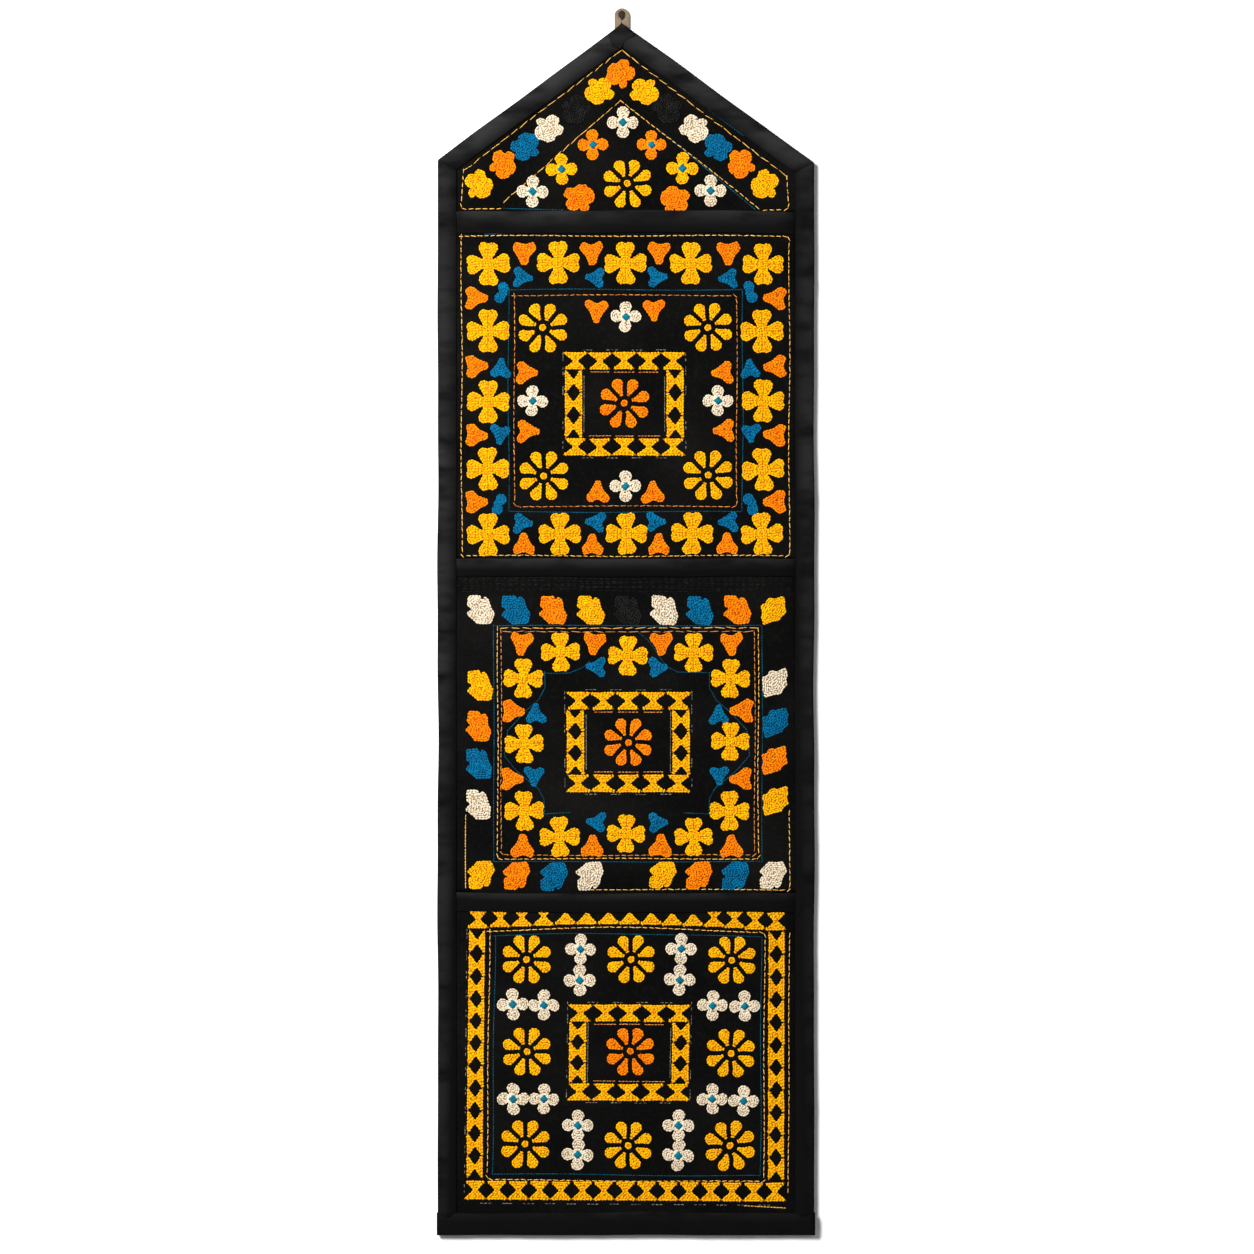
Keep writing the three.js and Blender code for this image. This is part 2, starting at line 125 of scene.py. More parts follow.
# A node tree. add() makes a node: its settings first, then values or wires for its inputs.
class Graph:
    def __init__(self, tree):
        self.tree = tree
        tree.nodes.clear()

    def add(self, kind, settings=None, inputs=None, out=0):
        node = self.tree.nodes.new(kind)
        for name, value in (settings or {}).items():
            setattr(node, name, value)
        for key, value in (inputs or {}).items():
            socket = self.find(node.inputs, key)
            if isinstance(value, Wire):
                self.tree.links.new(value.socket, socket)
            else:
                socket.default_value = value
        if node.outputs:
            return Wire(self, self.find(node.outputs, out))

    def find(self, sockets, key):
        if isinstance(key, int):
            return sockets[key]
        for socket in sockets:
            if socket.identifier == key:
                return socket
        return next(socket for socket in sockets if socket.name == key and socket.enabled)

    def mix(self, factor, first, second):
        inputs = {"Factor_Float": factor, "A_Color": first, "B_Color": second}
        return self.add("ShaderNodeMix", {"data_type": "RGBA"}, inputs, "Result_Color")

    def times(self, first, second):
        return self.add("ShaderNodeVectorMath", {"operation": "MULTIPLY"}, {0: first, 1: second})

    def attribute(self, name):
        return self.add("ShaderNodeAttribute", {"attribute_name": name}, None, "Fac")

    # Noise over the object, in features per metre.
    def noise(self, place, scale, detail=3.0):
        return self.add("ShaderNodeTexNoise", None, {"Vector": place, "Scale": scale, "Detail": detail})

    def bump(self, height, strength, distance=0.0002):
        inputs = {"Strength": strength, "Distance": distance, "Height": height}
        return self.add("ShaderNodeBump", None, inputs)

    def finish(self, shade, roughness, gloss, more=None):
        inputs = {"Base Color": shade, "Roughness": roughness, "Specular IOR Level": gloss, **(more or {})}
        shader = self.add("ShaderNodeBsdfPrincipled", None, inputs)
        self.add("ShaderNodeOutputMaterial", None, {"Surface": shader})


def colour(red, green, blue):
    return (red, green, blue, 1.0)


# A material and its graph, with the place on the object and the x and z of that place.
def newMaterial(name):
    material = bpy.data.materials.new(name)
    material.use_nodes = True
    graph = Graph(material.node_tree)
    place = graph.add("ShaderNodeTexCoord", out="Object")
    across = graph.add("ShaderNodeSeparateXYZ", None, {"Vector": place})
    return material, graph, place, across, Wire(graph, across.socket.node.outputs[2])


# Plain-woven cotton: threads over and under each other, and a little dust and fading. It also carries painted
# shade in its creases and wherever a piece sets painted shade, and grows darker towards the bottom.
def clothMaterial(name, look):
    material, graph, place, across, up = newMaterial(name)
    pace = 2 * math.pi / (look["thread"] * mm)
    weave = (across * pace).sine() * (up * pace).sine() * 0.5 + graph.noise(place, 900.0) * 0.8
    faded = graph.noise(place, look["fadeScale"], 5.0)
    shade = graph.mix((faded - 0.42) * 3.0, look["dark"], look["pale"])
    fluff = graph.noise(place, 420.0, 2.0)
    shade = graph.mix((fluff - 0.5).most(0.0) * look["fluff"], shade, look["dust"])
    # Painted shade in the soft creases across the cloth.
    crease = graph.noise(graph.times(place, (0.35, 1.0, 1.0)), look["creases"], 2.0)
    shade = graph.mix((0.56 - crease).most(0.0) * look["creaseDepth"], shade, look["shadeAndWear"])
    # Darker towards the bottom, and painted shade from the piece's own values.
    below = ((up * -1.0 - 0.25) * look["dimBelow"]).most(0.0)
    shade = graph.mix((graph.attribute("paintedShade") + below).least(1.0), shade, look["shadeAndWear"])
    graph.finish(shade, 0.8 + faded * 0.15, look["gloss"], {"Normal": graph.bump(weave, look["bump"])})
    return material


# Stitched thread: each place a little lighter or darker, needle holes here and there darkened with painted
# shadow, fine twisted fibres.
# The tone of a stitch falls from its crest to its foot, where thread lies in the shade of thread.
def threadMaterial(name, look):
    material, graph, place, across, up = newMaterial(name)
    patch = graph.noise(place, 160.0, 2.0)
    grain = graph.noise(place, 520.0, 2.0)
    crest = graph.mix((patch - 0.35) * 2.4, look["deep"], look["bright"])
    crest = graph.mix((grain - 0.5).most(0.0) * look["grain"], crest, look["deep"])
    shade = graph.mix(graph.attribute("tone"), look["groove"], crest)
    # Dark specks of painted shadow in the needle holes.
    flat = graph.add("ShaderNodeCombineXYZ", None, {0: across, 1: up})
    inputs = {"Vector": flat, "Scale": look["holes"]}
    cell = graph.add("ShaderNodeTexVoronoi", {"voronoi_dimensions": "2D"}, inputs)
    hole = ((0.19 - cell) * 14.0).most(0.0).least(look["holeDepth"])
    shade = graph.mix(hole, shade, look["shadow"])
    fibres = graph.noise(place, 2600.0, 2.0)
    graph.finish(shade, 0.55 + grain * 0.25, look["gloss"], {"Normal": graph.bump(fibres, 0.5)})
    return material


# Twill tape: slanting ribs over a warm tan.
def twillMaterial(name, look):
    material, graph, place, across, up = newMaterial(name)
    rib = ((across + up * 0.8) * (2 * math.pi / (look["rib"] * mm))).sine()
    shadeAndWear = graph.noise(place, 160.0, 4.0)
    shade = graph.mix((shadeAndWear - 0.35) * 2.0, look["dark"], look["pale"])
    # Painted shade in the grooves between the ribs.
    shade = graph.mix((0.2 - rib).most(0.0) * 0.35, shade, look["dark"])
    normal = graph.bump(rib * 0.5 + graph.noise(place, 1500.0), 0.6, 0.0003)
    graph.finish(shade, 0.7 + shadeAndWear * 0.2, 0.3, {"Sheen Weight": 0.15, "Normal": normal})
    return material


cotton = {
    "thread": 0.9,
    "fadeScale": 16.0,
    "creases": 80.0,
    "creaseDepth": 1.5,
    # The darkest colour, for painted shade and for the darkening towards the bottom.
    "shadeAndWear": colour(0.001, 0.001, 0.001),
    "dark": colour(0.0018, 0.0017, 0.0016),
    "pale": colour(0.0052, 0.0048, 0.0045),
    "dust": colour(0.02, 0.02, 0.02),
    "fluff": 0.5,
    "bump": 0.6,
    "dimBelow": 0.3,
    "gloss": 0.03,
}
smoothTape = {
    "thread": 0.7,
    "fadeScale": 9.0,
    "creases": 95.0,
    "creaseDepth": 3.4,
    # The darkest colour, for painted shade and for the darkening towards the bottom.
    "shadeAndWear": colour(0.0012, 0.0012, 0.0012),
    "dark": colour(0.0108, 0.0105, 0.0103),
    "pale": colour(0.0262, 0.0256, 0.0253),
    "dust": colour(0.03, 0.03, 0.03),
    "fluff": 0.3,
    "bump": 0.35,
    "dimBelow": 1.3,
    "gloss": 0.06,
}
twill = {"rib": 1.1, "dark": colour(0.15, 0.105, 0.065), "pale": colour(0.27, 0.20, 0.13)}

# Each thread's shades: bright and deep on the crest of a stitch, painted shade in the groove, and painted
# shadow in a needle hole.
shadeNames = ("bright", "deep", "groove", "shadow")
threads = {
    "yellow": [(1.0, 0.56, 0.0), (0.93, 0.42, 0.0), (0.50, 0.17, 0.0), (0.16, 0.06, 0.0)],
    "orange": [(1.0, 0.31, 0.0), (0.95, 0.215, 0.0), (0.46, 0.07, 0.0), (0.14, 0.03, 0.0)],
    "blue": [(0.0, 0.19, 0.38), (0.0, 0.11, 0.23), (0.0, 0.045, 0.11), (0.0, 0.02, 0.05)],
    "cream": [(0.91, 0.79, 0.61), (0.76, 0.63, 0.455), (0.27, 0.20, 0.12), (0.06, 0.045, 0.03)],
    "teal": [(0.001, 0.165, 0.25), (0.001, 0.12, 0.18), (0.001, 0.09, 0.13), (0.001, 0.03, 0.05)],
    "black": [(0.017, 0.016, 0.015), (0.001,) * 3, (0.0008,) * 3, (0.0005,) * 3],
    "navy": [(0.004, 0.11, 0.17), (0.002, 0.045, 0.075), (0.001, 0.01, 0.016), (0.001, 0.005, 0.008)],
    "ash": [(0.30, 0.28, 0.25), (0.07, 0.065, 0.06), (0.03, 0.03, 0.03), (0.01, 0.01, 0.01)],
    "copper": [(0.95, 0.42, 0.10), (0.45, 0.14, 0.03), (0.30, 0.10, 0.03), (0.1, 0.04, 0.01)],
    "gold": [(1.0, 0.66, 0.16), (0.85, 0.42, 0.06), (0.45, 0.19, 0.03), (0.2, 0.08, 0.01)],
}
plainThread = {"grain": 2.8, "holes": 360.0, "holeDepth": 0.8, "gloss": 0.06}
blackThread = {**plainThread, "grain": 6.0, "gloss": 0.09}

cottonMaterial = clothMaterial("Black cotton", cotton)
tapeMaterial = clothMaterial("Black tape", smoothTape)
tanMaterial = twillMaterial("Tan twill tape", twill)
threadMaterials = {}
for name, shades in threads.items():
    look = dict(blackThread if name == "black" else plainThread)
    look.update((key, colour(*shade)) for key, shade in zip(shadeNames, shades))
    threadMaterials[name] = threadMaterial(name.capitalize() + " thread", look)
print("materials made")


# The front of a cloth, in millimetres into the wall, at x and z. A pocket's stands out most at the middle of
# its mouth, and not at all in its seams.
def clothFront(part, x, z):
    x, z = np.asarray(x, float), np.asarray(z, float)
    calm = np.sqrt(np.sin(np.pi * np.clip((x - insideLeft) / insideWidth, 0, 1)))
    pucker = hang["pucker"] * (np.sin(x / 5.3 + z / 17) + np.sin(z / 6.1 - x / 23) + np.sin((x + z) / 8.7))
    if part == "peak":
        trough = np.sin(x / 31 + 0.6) * np.sin(z / 24)
        return depth["clothFront"] - calm * (pucker + 0.5 * hang["trough"] * trough)
    pocket = pockets[part]
    phase = pocket["mouth"] / 40
    trough = np.sin(x / 37 + phase) * np.sin(z / 41 + phase) + 0.6 * np.sin(x / 19 + z / 47 + phase)
    height = np.clip((z + pocket["seam"]) / (pocket["seam"] - pocket["mouth"]), 0, 1)
    bow = hang["stand"] * calm * height**0.85
    soft = calm * np.sqrt(height * np.clip(4 * (1.02 - height), 0, 1))
    return depth["clothFront"] - bow - soft * (hang["trough"] * trough + pucker)


# The direction in which a cloth faces.
def clothFacing(part, x, z):
    slopeX = clothFront(part, x + 0.5, z) - clothFront(part, x - 0.5, z)
    slopeZ = clothFront(part, x, z + 0.5) - clothFront(part, x, z - 0.5)
    facing = np.stack([slopeX, -np.ones_like(slopeX), slopeZ], -1)
    return facing / np.linalg.norm(facing, axis=-1, keepdims=True)


def addObject(name, mesh, material=None):
    piece = bpy.data.objects.new(name, mesh)
    bpy.context.scene.collection.objects.link(piece)
    if material:
        mesh.materials.clear()
        mesh.materials.append(material)
    return piece


# A mesh from points in millimetres and faces.
def meshFrom(name, points, faces, smooth=True):
    mesh = bpy.data.meshes.new(name)
    mesh.from_pydata((np.asarray(points) * mm).tolist(), [], faces)
    mesh.validate()
    mesh.polygons.foreach_set("use_smooth", [smooth] * len(mesh.polygons))
    mesh.update()
    return mesh


def setValues(mesh, name, values):
    mesh.attributes.new(name, "FLOAT", "POINT").data.foreach_set("value", values)


# The faces of equal rings, one after another, closed at both ends.
def ringFaces(count, rings):
    faces = [list(range(count))[::-1], list(range((rings - 1) * count, rings * count))]
    for ring in range(0, (rings - 1) * count, count):
        for i in range(count):
            j = (i + 1) % count
            faces.append([ring + i, ring + j, ring + count + j, ring + count + i])
    return faces


# A sheet of even thickness round a grid of points on its middle. The first side is to the left of the
# second way along the grid, seen from outside.
def sheetMesh(name, grid, thickness):
    rows, columns = grid.shape[:2]
    facing = np.cross(np.gradient(grid, axis=1), np.gradient(grid, axis=0))
    facing *= thickness / 2 / np.linalg.norm(facing, axis=-1, keepdims=True)
    points = np.concatenate([(grid + facing).reshape(-1, 3), (grid - facing).reshape(-1, 3)])
    under = rows * columns
    at = np.arange(under).reshape(rows, columns)
    quads = np.stack([at[:-1, :-1], at[:-1, 1:], at[1:, 1:], at[1:, :-1]], -1).reshape(-1, 4)
    faces = [*quads.tolist(), *(quads[:, ::-1] + under).tolist()]
    rim = [*at[0, :], *at[1:, -1], *at[-1, -2::-1], *at[-2:0:-1, 0]]
    for here, there in zip(rim, rim[1:] + rim[:1]):
        faces.append([int(there), int(here), int(here) + under, int(there) + under])
    return meshFrom(name, points, faces)


goods = {
    "cloth": (depth["cloth"], cottonMaterial, "black_cotton"),
    "tape": (depth["tape"], tapeMaterial, "black_tape"),
    "loop": (depth["loop"], tanMaterial, "tan_tape"),
}
sheets = []


# A piece that stands for a node. shade, where given, is painted shade that darkens it, one value for each
# place on its grid.
def addPiece(node, grid, kind, shade=None):
    thickness, material, slot = goods[kind]
    name = node.capitalize()
    piece = addObject(name, sheetMesh(name, grid, thickness), material)
    if shade is not None:
        setValues(piece.data, "paintedShade", np.tile(np.broadcast_to(shade, grid.shape[:2]).ravel(), 2))
    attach(piece, "root")
    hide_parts(node)
    return piece


# Notes a piece's flat width and length, its area where it isn't a rectangle, and what it lies on.
def noteSheet(piece, width, length, area=None, restsOn=("Backing",)):
    sheets.append((piece, (width * mm, length * mm), area, restsOn))


# Heights of the gabled top at x, drawn in by a distance from the edge.
def gableTop(x, inset):
    slopeLeft = (cut["leftShoulder"] - cut["apex"]) / -cut["left"]
    slopeRight = (cut["rightShoulder"] - cut["apex"]) / cut["right"]
    left = -cut["apex"] - inset * math.hypot(1, slopeLeft) + slopeLeft * x
    right = -cut["apex"] - inset * math.hypot(1, slopeRight) - slopeRight * x
    return np.minimum(left, right)


# A cloth's grid: columns at x, each in even steps from its foot up to its top.
def clothGrid(x, foot, top, frontAt, rows):
    share = np.linspace(0, 1, rows)[:, None]
    z = foot * (1 - share) + top * share
    across = np.broadcast_to(x, z.shape)
    return np.stack([across, frontAt(across, z) + depth["cloth"] / 2, z], -1)


# A cloth that reaches up under the gable.
def makeGabled(node, inset, footAt, frontAt, restsOn, columns, rows):
    x = np.linspace(cut["left"] + inset, cut["right"] - inset, columns)
    x[np.argmin(np.abs(x - cut["ridge"]))] = cut["ridge"]
    foot, top = footAt(x), gableTop(x, inset)
    edgeX, edgeZ = np.concatenate([x, x[::-1]]), np.concatenate([foot, top[::-1]])
    area = abs(np.sum(edgeX * np.roll(edgeZ, -1) - np.roll(edgeX, -1) * edgeZ)) / 2 * mm * mm
    piece = addPiece(node, clothGrid(x, foot, top, frontAt, rows), "cloth")
    noteSheet(piece, x[-1] - x[0], gableTop(cut["ridge"], inset) - foot.min(), area, restsOn)


def makeBacking():
    def footAt(x):
        return np.full_like(x, cut["backingInset"] - cut["foot"])

    def frontAt(x, z):
        return np.full(z.shape, depth["backing"] - depth["cloth"] / 2)

    makeGabled("backing", cut["backingInset"], footAt, frontAt, (), columns=41, rows=60)


# How far the hem hangs down at x: not at all in the side seams.
def hemAt(x):
    seam, fade = 9, 14
    share = np.clip((np.minimum(x - insideLeft, insideRight - x) - seam) / fade, 0, 1)
    return hang["hem"] * share * share * (3 - 2 * share)


def makePeak():
    def footAt(x):
        return 1.6 - pockets["top"]["mouth"] - hemAt(x)

    def frontAt(x, z):
        return clothFront("peak", x, z)

    makeGabled("peak_panel", cut["frontInset"], footAt, frontAt, ("Backing",), columns=121, rows=48)


# Columns of a pocket, closer together towards the side seams, and one more under each side tape.
def pocketColumns():
    inset, under = cut["frontInset"], 4
    left, right = [cut["left"] + inset, insideLeft - under], [insideRight + under, cut["right"] - inset]
    turn = np.linspace(-0.5, 0.5, 93)
    inside = (insideLeft + insideRight) / 2 + insideWidth / 2 * np.sin(turn * np.pi)
    return np.concatenate([left, inside, right])


def girthOf(x, y):
    return np.sum(np.hypot(np.diff(x), np.diff(y)))


def makePocketFront(part):
    pocket = pockets[part]
    hem = 0 if part == "bottom" else hang["hem"]
    x = pocketColumns()
    foot = -pocket["foot"] - (hemAt(x) if hem else 0 * x)
    mouth = np.full_like(x, -pocket["mouth"])
    grid = clothGrid(x, foot, mouth, lambda across, z: clothFront(part, across, z), rows=72)
    girth = girthOf(x, clothFront(part, x, mouth))
    piece = addPiece("pocket_" + part + "_front", grid, "cloth")
    noteSheet(piece, (girth + x[-1] - x[0]) / 2, pocket["foot"] - pocket["mouth"] + hem)


# The middle of a folded tape's section, from the front flap's edge round the fold to the back flap's edge:
# distance in from the fold, and depth. The front flap swells a little and is pressed down at its edge.
def foldedSection(width, front, back, press, bulge):
    radius = (back - front) / 2
    flap = [(width * u, front + press * u**6 - bulge * math.sin(math.pi * u**1.3))
            for u in (1.0, 0.95, 0.88, 0.78, 0.66, 0.52, 0.38)]
    turns = np.radians(np.linspace(-90, -270, 9))
    fold = [(radius + radius * math.cos(a), (front + back) / 2 + radius * math.sin(a)) for a in turns]
    return np.array([*flap, *fold, ((width + radius) / 2, back), (width, back)]).T


def waver(along, phase):
    return 0.35 * np.sin(along / 31 + phase) + 0.2 * np.sin(along / 13 + 2 * phase)


def unit(vector):
    return vector / np.linalg.norm(vector)


def mitre(before, at, after):
    return unit(unit(before - at) + unit(after - at))


sideFoot = -cut["foot"] + cut["footTape"] - 3
corner = {
    "apex": np.array([0.0, -cut["apex"]]),
    "leftShoulder": np.array([cut["left"], -cut["leftShoulder"]]),
    "rightShoulder": np.array([cut["right"], -cut["rightShoulder"]]),
    "leftFoot": np.array([cut["left"], sideFoot]),
    "rightFoot": np.array([cut["right"], sideFoot]),
}
apexCut = mitre(corner["rightShoulder"], corner["apex"], corner["leftShoulder"])
leftCut = mitre(corner["apex"], corner["leftShoulder"], corner["leftFoot"])
rightCut = mitre(corner["rightFoot"], corner["rightShoulder"], corner["apex"])

# Bindings: their two corners, the cuts there, the tape, the phase of its waver, and painted shade over the
# whole of it.
bindings = {
    "binding_gable_left": ("apex", "leftShoulder", apexCut, leftCut, "gableTape", 0.4, 0),
    "binding_left": ("leftShoulder", "leftFoot", leftCut, np.array([1.0, 0.0]), "sideTape", 1.7, 0),
    "binding_right": ("rightFoot", "rightShoulder", np.array([-1.0, 0.0]), rightCut, "sideTape", 2.9, 0.2),
    "binding_gable_right": ("rightShoulder", "apex", rightCut, apexCut, "gableTape", 0.9, 0),
}
# Soft folds across them, as (drop, slant, height, width).
bindingFolds = {
    "binding_gable_left": [(30, 1.2, 0.4, 3), (71, 1.0, 0.4, 4)],
    "binding_left": [(226, 0.5, 0.5, 4), (247, 0.6, 0.7, 3.5), (263, 0.4, 0.4, 3), (404, 0.3, 0.5, 5),
                     (641, -0.4, 0.4, 4)],
    "binding_right": [(181, -0.5, 0.5, 4), (318, 0.5, 0.5, 4), (503, -0.4, 0.5, 4), (722, 0.5, 0.4, 5)],
    "binding_gable_right": [(27, -1.2, 0.5, 3), (36, -1.1, 0.4, 2.5), (80, -1.0, 0.4, 4)],
}


# How far a side binding swells where a mouth tape runs under it.
def swell(z):
    lift = 0
    for pocket in pockets.values():
        middle = pocket["mouth"] - 1 + pocket["tape"] / 2
        lift = lift + np.exp(-(((-z - middle) / (0.62 * pocket["tape"])) ** 4))
    return lift


def makeBinding(name, first, last, firstCut, lastCut, widthName, phase, shade):
    start, end, width = corner[first], corner[last], cut[widthName]
    length = np.linalg.norm(end - start)
    along = (end - start) / length
    inward = np.array([-along[1], along[0]])
    share = np.linspace(0, 1, max(int(length / 4), 8))[:, None]
    gap, stand = 0.02, 0.85
    press = depth["clothFront"] - depth["tape"] / 2 - gap - depth["tapeFront"]
    reach, level = foldedSection(width, depth["tapeFront"], depth["tapeBack"], press, bulge=0.75)
    isFront = level < depth["tapeMiddle"]
    wave = waver(share * length, phase) * np.sin(np.pi * share)
    inset = np.maximum(reach, depth["tape"] / 2)
    inset = inset + np.where(inset > width - 1, wave / 2, wave * (1 - 0.5 * inset / width))
    firstPoint = start + firstCut * (inset / firstCut.dot(inward))[..., None] + along * 0.1
    lastPoint = end + lastCut * (inset / lastCut.dot(inward))[..., None] - along * 0.1
    flatPoint = firstPoint * (1 - share[..., None]) + lastPoint * share[..., None]
    z = flatPoint[..., 1]
    ripple = 0.10 * np.sin(share * length / 3.1 + phase) + 0.08 * np.sin(share * length / 7.7)
    lift = ripple * np.clip(1 - np.abs(inset / width - 0.55), 0, 1)
    if widthName == "sideTape":
        lift = lift + stand * swell(z) * (inset > width - 5)
    for drop, slant, height, spread in bindingFolds[name]:
        off = (z + drop - slant * (inset - width / 2)) / spread
        lift = lift + height * np.exp(-off * off)
    grid = np.stack([flatPoint[..., 0], level - lift * isFront, z], -1)
    # Painted shade, deepening from the middle of the rounded tape to its inner edge.
    seam = np.clip(inset / width - 0.3, 0, 1) ** 1.2 * 1.1 + shade
    piece = addPiece(name, grid, "tape", seam * isFront)
    noteSheet(piece, 2 * width + 2, length)
    if name == "binding_gable_left":
        joinMesh(piece.data, makeApexFold())


def joinMesh(mesh, other):
    both = bmesh.new()
    both.from_mesh(mesh)
    both.from_mesh(other)
    both.to_mesh(mesh)
    both.free()
    bpy.data.meshes.remove(other)


# The end of the tape, folded over both gable bindings at the apex.
apexFold = {
    "outline": [(-0.3, -5.6), (-8.8, -14.6), (-6.3, -21.6), (-0.7, -22.9), (1.3, -18.6), (8.6, -13.6)],
    "back": -6.1,
    "edge": -7.0,
    "front": -7.4,
    "bevel": 0.07,
    "lean": 0.02,
}


def makeApexFold():
    outline = np.array(apexFold["outline"])
    inner = outline + (outline.mean(0) - outline) * apexFold["bevel"]
    points = []
    for ring, side in ((outline, "back"), (outline, "edge"), (inner, "front")):
        points += [(x, apexFold[side] - apexFold["lean"] * z, z) for x, z in ring]
    count = len(outline)
    mesh = meshFrom("Apex_fold", points, ringFaces(count, 3), False)
    # Painted shade: dark round its edges, its face darker towards its lower tip.
    setValues(mesh, "paintedShade", [0.9] * (2 * count) + [float(np.clip((-8 - z) / 16, 0, 0.75)) for x, z in inner])
    return mesh


def makeFootBinding():
    width = cut["footTape"]
    reach, level = foldedSection(width, depth["tapeFront"] - 0.25, depth["tapeBack"], press=0.5, bulge=0.8)
    isFront = level < depth["tapeMiddle"]
    x = np.linspace(cut["left"] - cut["footOverhang"], cut["right"] + cut["footOverhang"], 66)[:, None]
    length = x[-1, 0] - x[0, 0]
    share = (x - x[0, 0]) / length
    wave = (0.5 * np.sin(x / 33 + 1.0) + 0.25 * np.sin(x / 12)) * np.sin(np.pi * share) ** 0.5
    inset = np.maximum(reach, depth["tape"] / 2)
    inset = inset + np.abs(wave) * 0.5 * (1 - inset / width * 0.6) + np.where(inset > width - 1, wave, 0)
    ripple = 0.12 * np.sin(x / 3.7) + 0.1 * np.sin(x / 9.1)
    grid = np.stack([np.broadcast_to(x, inset.shape), level - ripple * isFront, inset - cut["foot"]], -1)
    # Painted shade, deepest at the fold along its foot.
    piece = addPiece("binding_foot", grid, "tape", np.clip(1 - inset / width, 0, 1) * 0.75 * isFront)
    noteSheet(piece, 2 * width + 2, length)


# The tape over a pocket's mouth. Its ends run under the side bindings, where its front flap is pressed flat.
def makeMouthTape(part):
    pocket = pockets[part]
    width, pressed = pocket["tape"], -0.37
    reach, level = foldedSection(width, front=-0.5, back=1.0, press=0.1, bulge=1.1)
    x = pocketColumns()[1:-1, None]
    wave = 0.25 * np.sin(x / 27 + pocket["mouth"]) + 0.18 * np.sin(x / 9.3)
    z = 1.0 - pocket["mouth"] - np.maximum(reach, depth["tape"] / 2) + np.where(level < 0, 1.0, 0.3) * wave
    across = np.broadcast_to(x, z.shape)
    ripple = 0.08 * np.sin(x / 3.3) + 0.07 * np.sin(x / 7.9)
    free = np.clip((np.minimum(x - insideLeft, insideRight - x) - 1) / 10, 0, 1)
    offset = np.where(level < pressed, pressed + (level - pressed) * free, level)
    y = clothFront(part, across, z) + offset - 0.5 * np.abs(ripple) * free
    # Painted shade: lightest at the fold along its top, darker down to its lower edge.
    shade = np.clip(1.3 * (reach / width) ** 0.8 - 0.1, 0, 0.9) * (level < 0)
    piece = addPiece("pocket_" + part + "_mouth_tape", np.stack([across, y, z], -1), "tape", shade)
    noteSheet(piece, 2 * width + 1, girthOf(x[:, 0], y[:, 4]), None, ("Pocket_" + part + "_front",))


# The hanging loop: a tape folded in two, its legs side by side behind the apex and open round the eye.
loopShape = {
    "half": 5.0,
    "crown": -0.4,
    "foot": -34.0,
    "eyeHalf": 2.4,
    "eyeCentre": 0.9,
    "eyeSides": -1.6,
    "eyePoint": -3.7,
    "slit": 0.25,
}


# One edge of the loop from foot to foot: up the left side, round a half circle, and down the right side.
def loopEdge(left, radius, centre):
    turns = np.radians(np.linspace(180, 0, 17))
    arc = [(radius * math.cos(a), centre + radius * math.sin(a)) for a in turns]
    return np.array([*left, *arc, *[(-x, z) for x, z in left[::-1]]])


def makeLoop():
    s = loopShape
    up = np.linspace(s["foot"], s["eyePoint"], 12)
    neck = np.linspace((-s["slit"], s["eyePoint"]), (-s["eyeHalf"], s["eyeSides"]), 5)[1:]
    inner = loopEdge([*[(-s["slit"], z) for z in up], *neck], s["eyeHalf"], s["eyeCentre"])
    side = [*up, *np.linspace(s["eyePoint"], s["crown"], 5)[1:]]
    outer = loopEdge([(-s["half"], z) for z in side], s["half"], s["crown"])
    share = np.linspace(0, 1, 7)[:, None]
    flatPoint = inner[:, None] * (1 - share) + outer[:, None] * share
    crowned = np.broadcast_to(-0.18 * np.sin(np.pi * share[:, 0]), flatPoint.shape[:2])
    addPiece("hanging_loop", np.stack([flatPoint[..., 0], crowned, flatPoint[..., 1]], -1), "loop")


makeBacking()
makePeak()
for part in pockets:
    makePocketFront(part)
    makeMouthTape(part)
for name, binding in bindings.items():
    makeBinding(name, *binding)
makeFootBinding()
makeLoop()
print("cloth made")


def smoothMin(a, b, width):
    blend = np.maximum(width - np.abs(a - b), 0) / width
    return np.minimum(a, b) - blend * blend * width / 4


# Distance from a tapered stroke between two points.
def stroke(x, y, start, end, startRadius, endRadius):
    dx, dy = end[0] - start[0], end[1] - start[1]
    share = np.clip(((x - start[0]) * dx + (y - start[1]) * dy) / (dx * dx + dy * dy), 0, 1)
    far = np.hypot(x - start[0] - share * dx, y - start[1] - share * dy)
    return far - startRadius - share * (endRadius - startRadius)


# Distance from a polygon, negative inside.
def polygon(x, y, corners):
    far = np.full_like(x, 1e9)
    inside = np.zeros(x.shape, bool)
    for (ax, ay), (bx, by) in zip(corners, corners[1:] + corners[:1]):
        far = np.minimum(far, stroke(x, y, (ax, ay), (bx, by), 0, 0))
        crosses = ((ay > y) != (by > y)) & (x < (bx - ax) * (y - ay) / (by - ay + 1e-12) + ax)
        inside ^= crosses
    return np.where(inside, -far, far)


def turned(x, y, degrees):
    c, s = math.cos(math.radians(degrees)), math.sin(math.radians(degrees))
    return x * c + y * s, -x * s + y * c


# Four heart-shaped petals.
def cloverField(x, y):
    field = np.hypot(x, y) - 4.6
    for quarter in range(4):
        u, v = turned(x, y, 90 * quarter)
        halves = [stroke(u, side * v, (2.6, 0.6), (10.3, 2.6), 1.7, 3.7) for side in (-1, 1)]
        field = smoothMin(field, smoothMin(*halves, 1.6), 0.3)
    return field


# One of the four round petals of a blossom, and the ring at its middle.
def blossomPetal(quarter):
    def field(x, y):
        u, v = turned(x, y, 90 * quarter)
        return stroke(u, v, (2.8, 0), (6.2, 0), 2.6, 4.2)
    return field


def blossomMiddle(x, y):
    return np.hypot(x, y) - 3.9


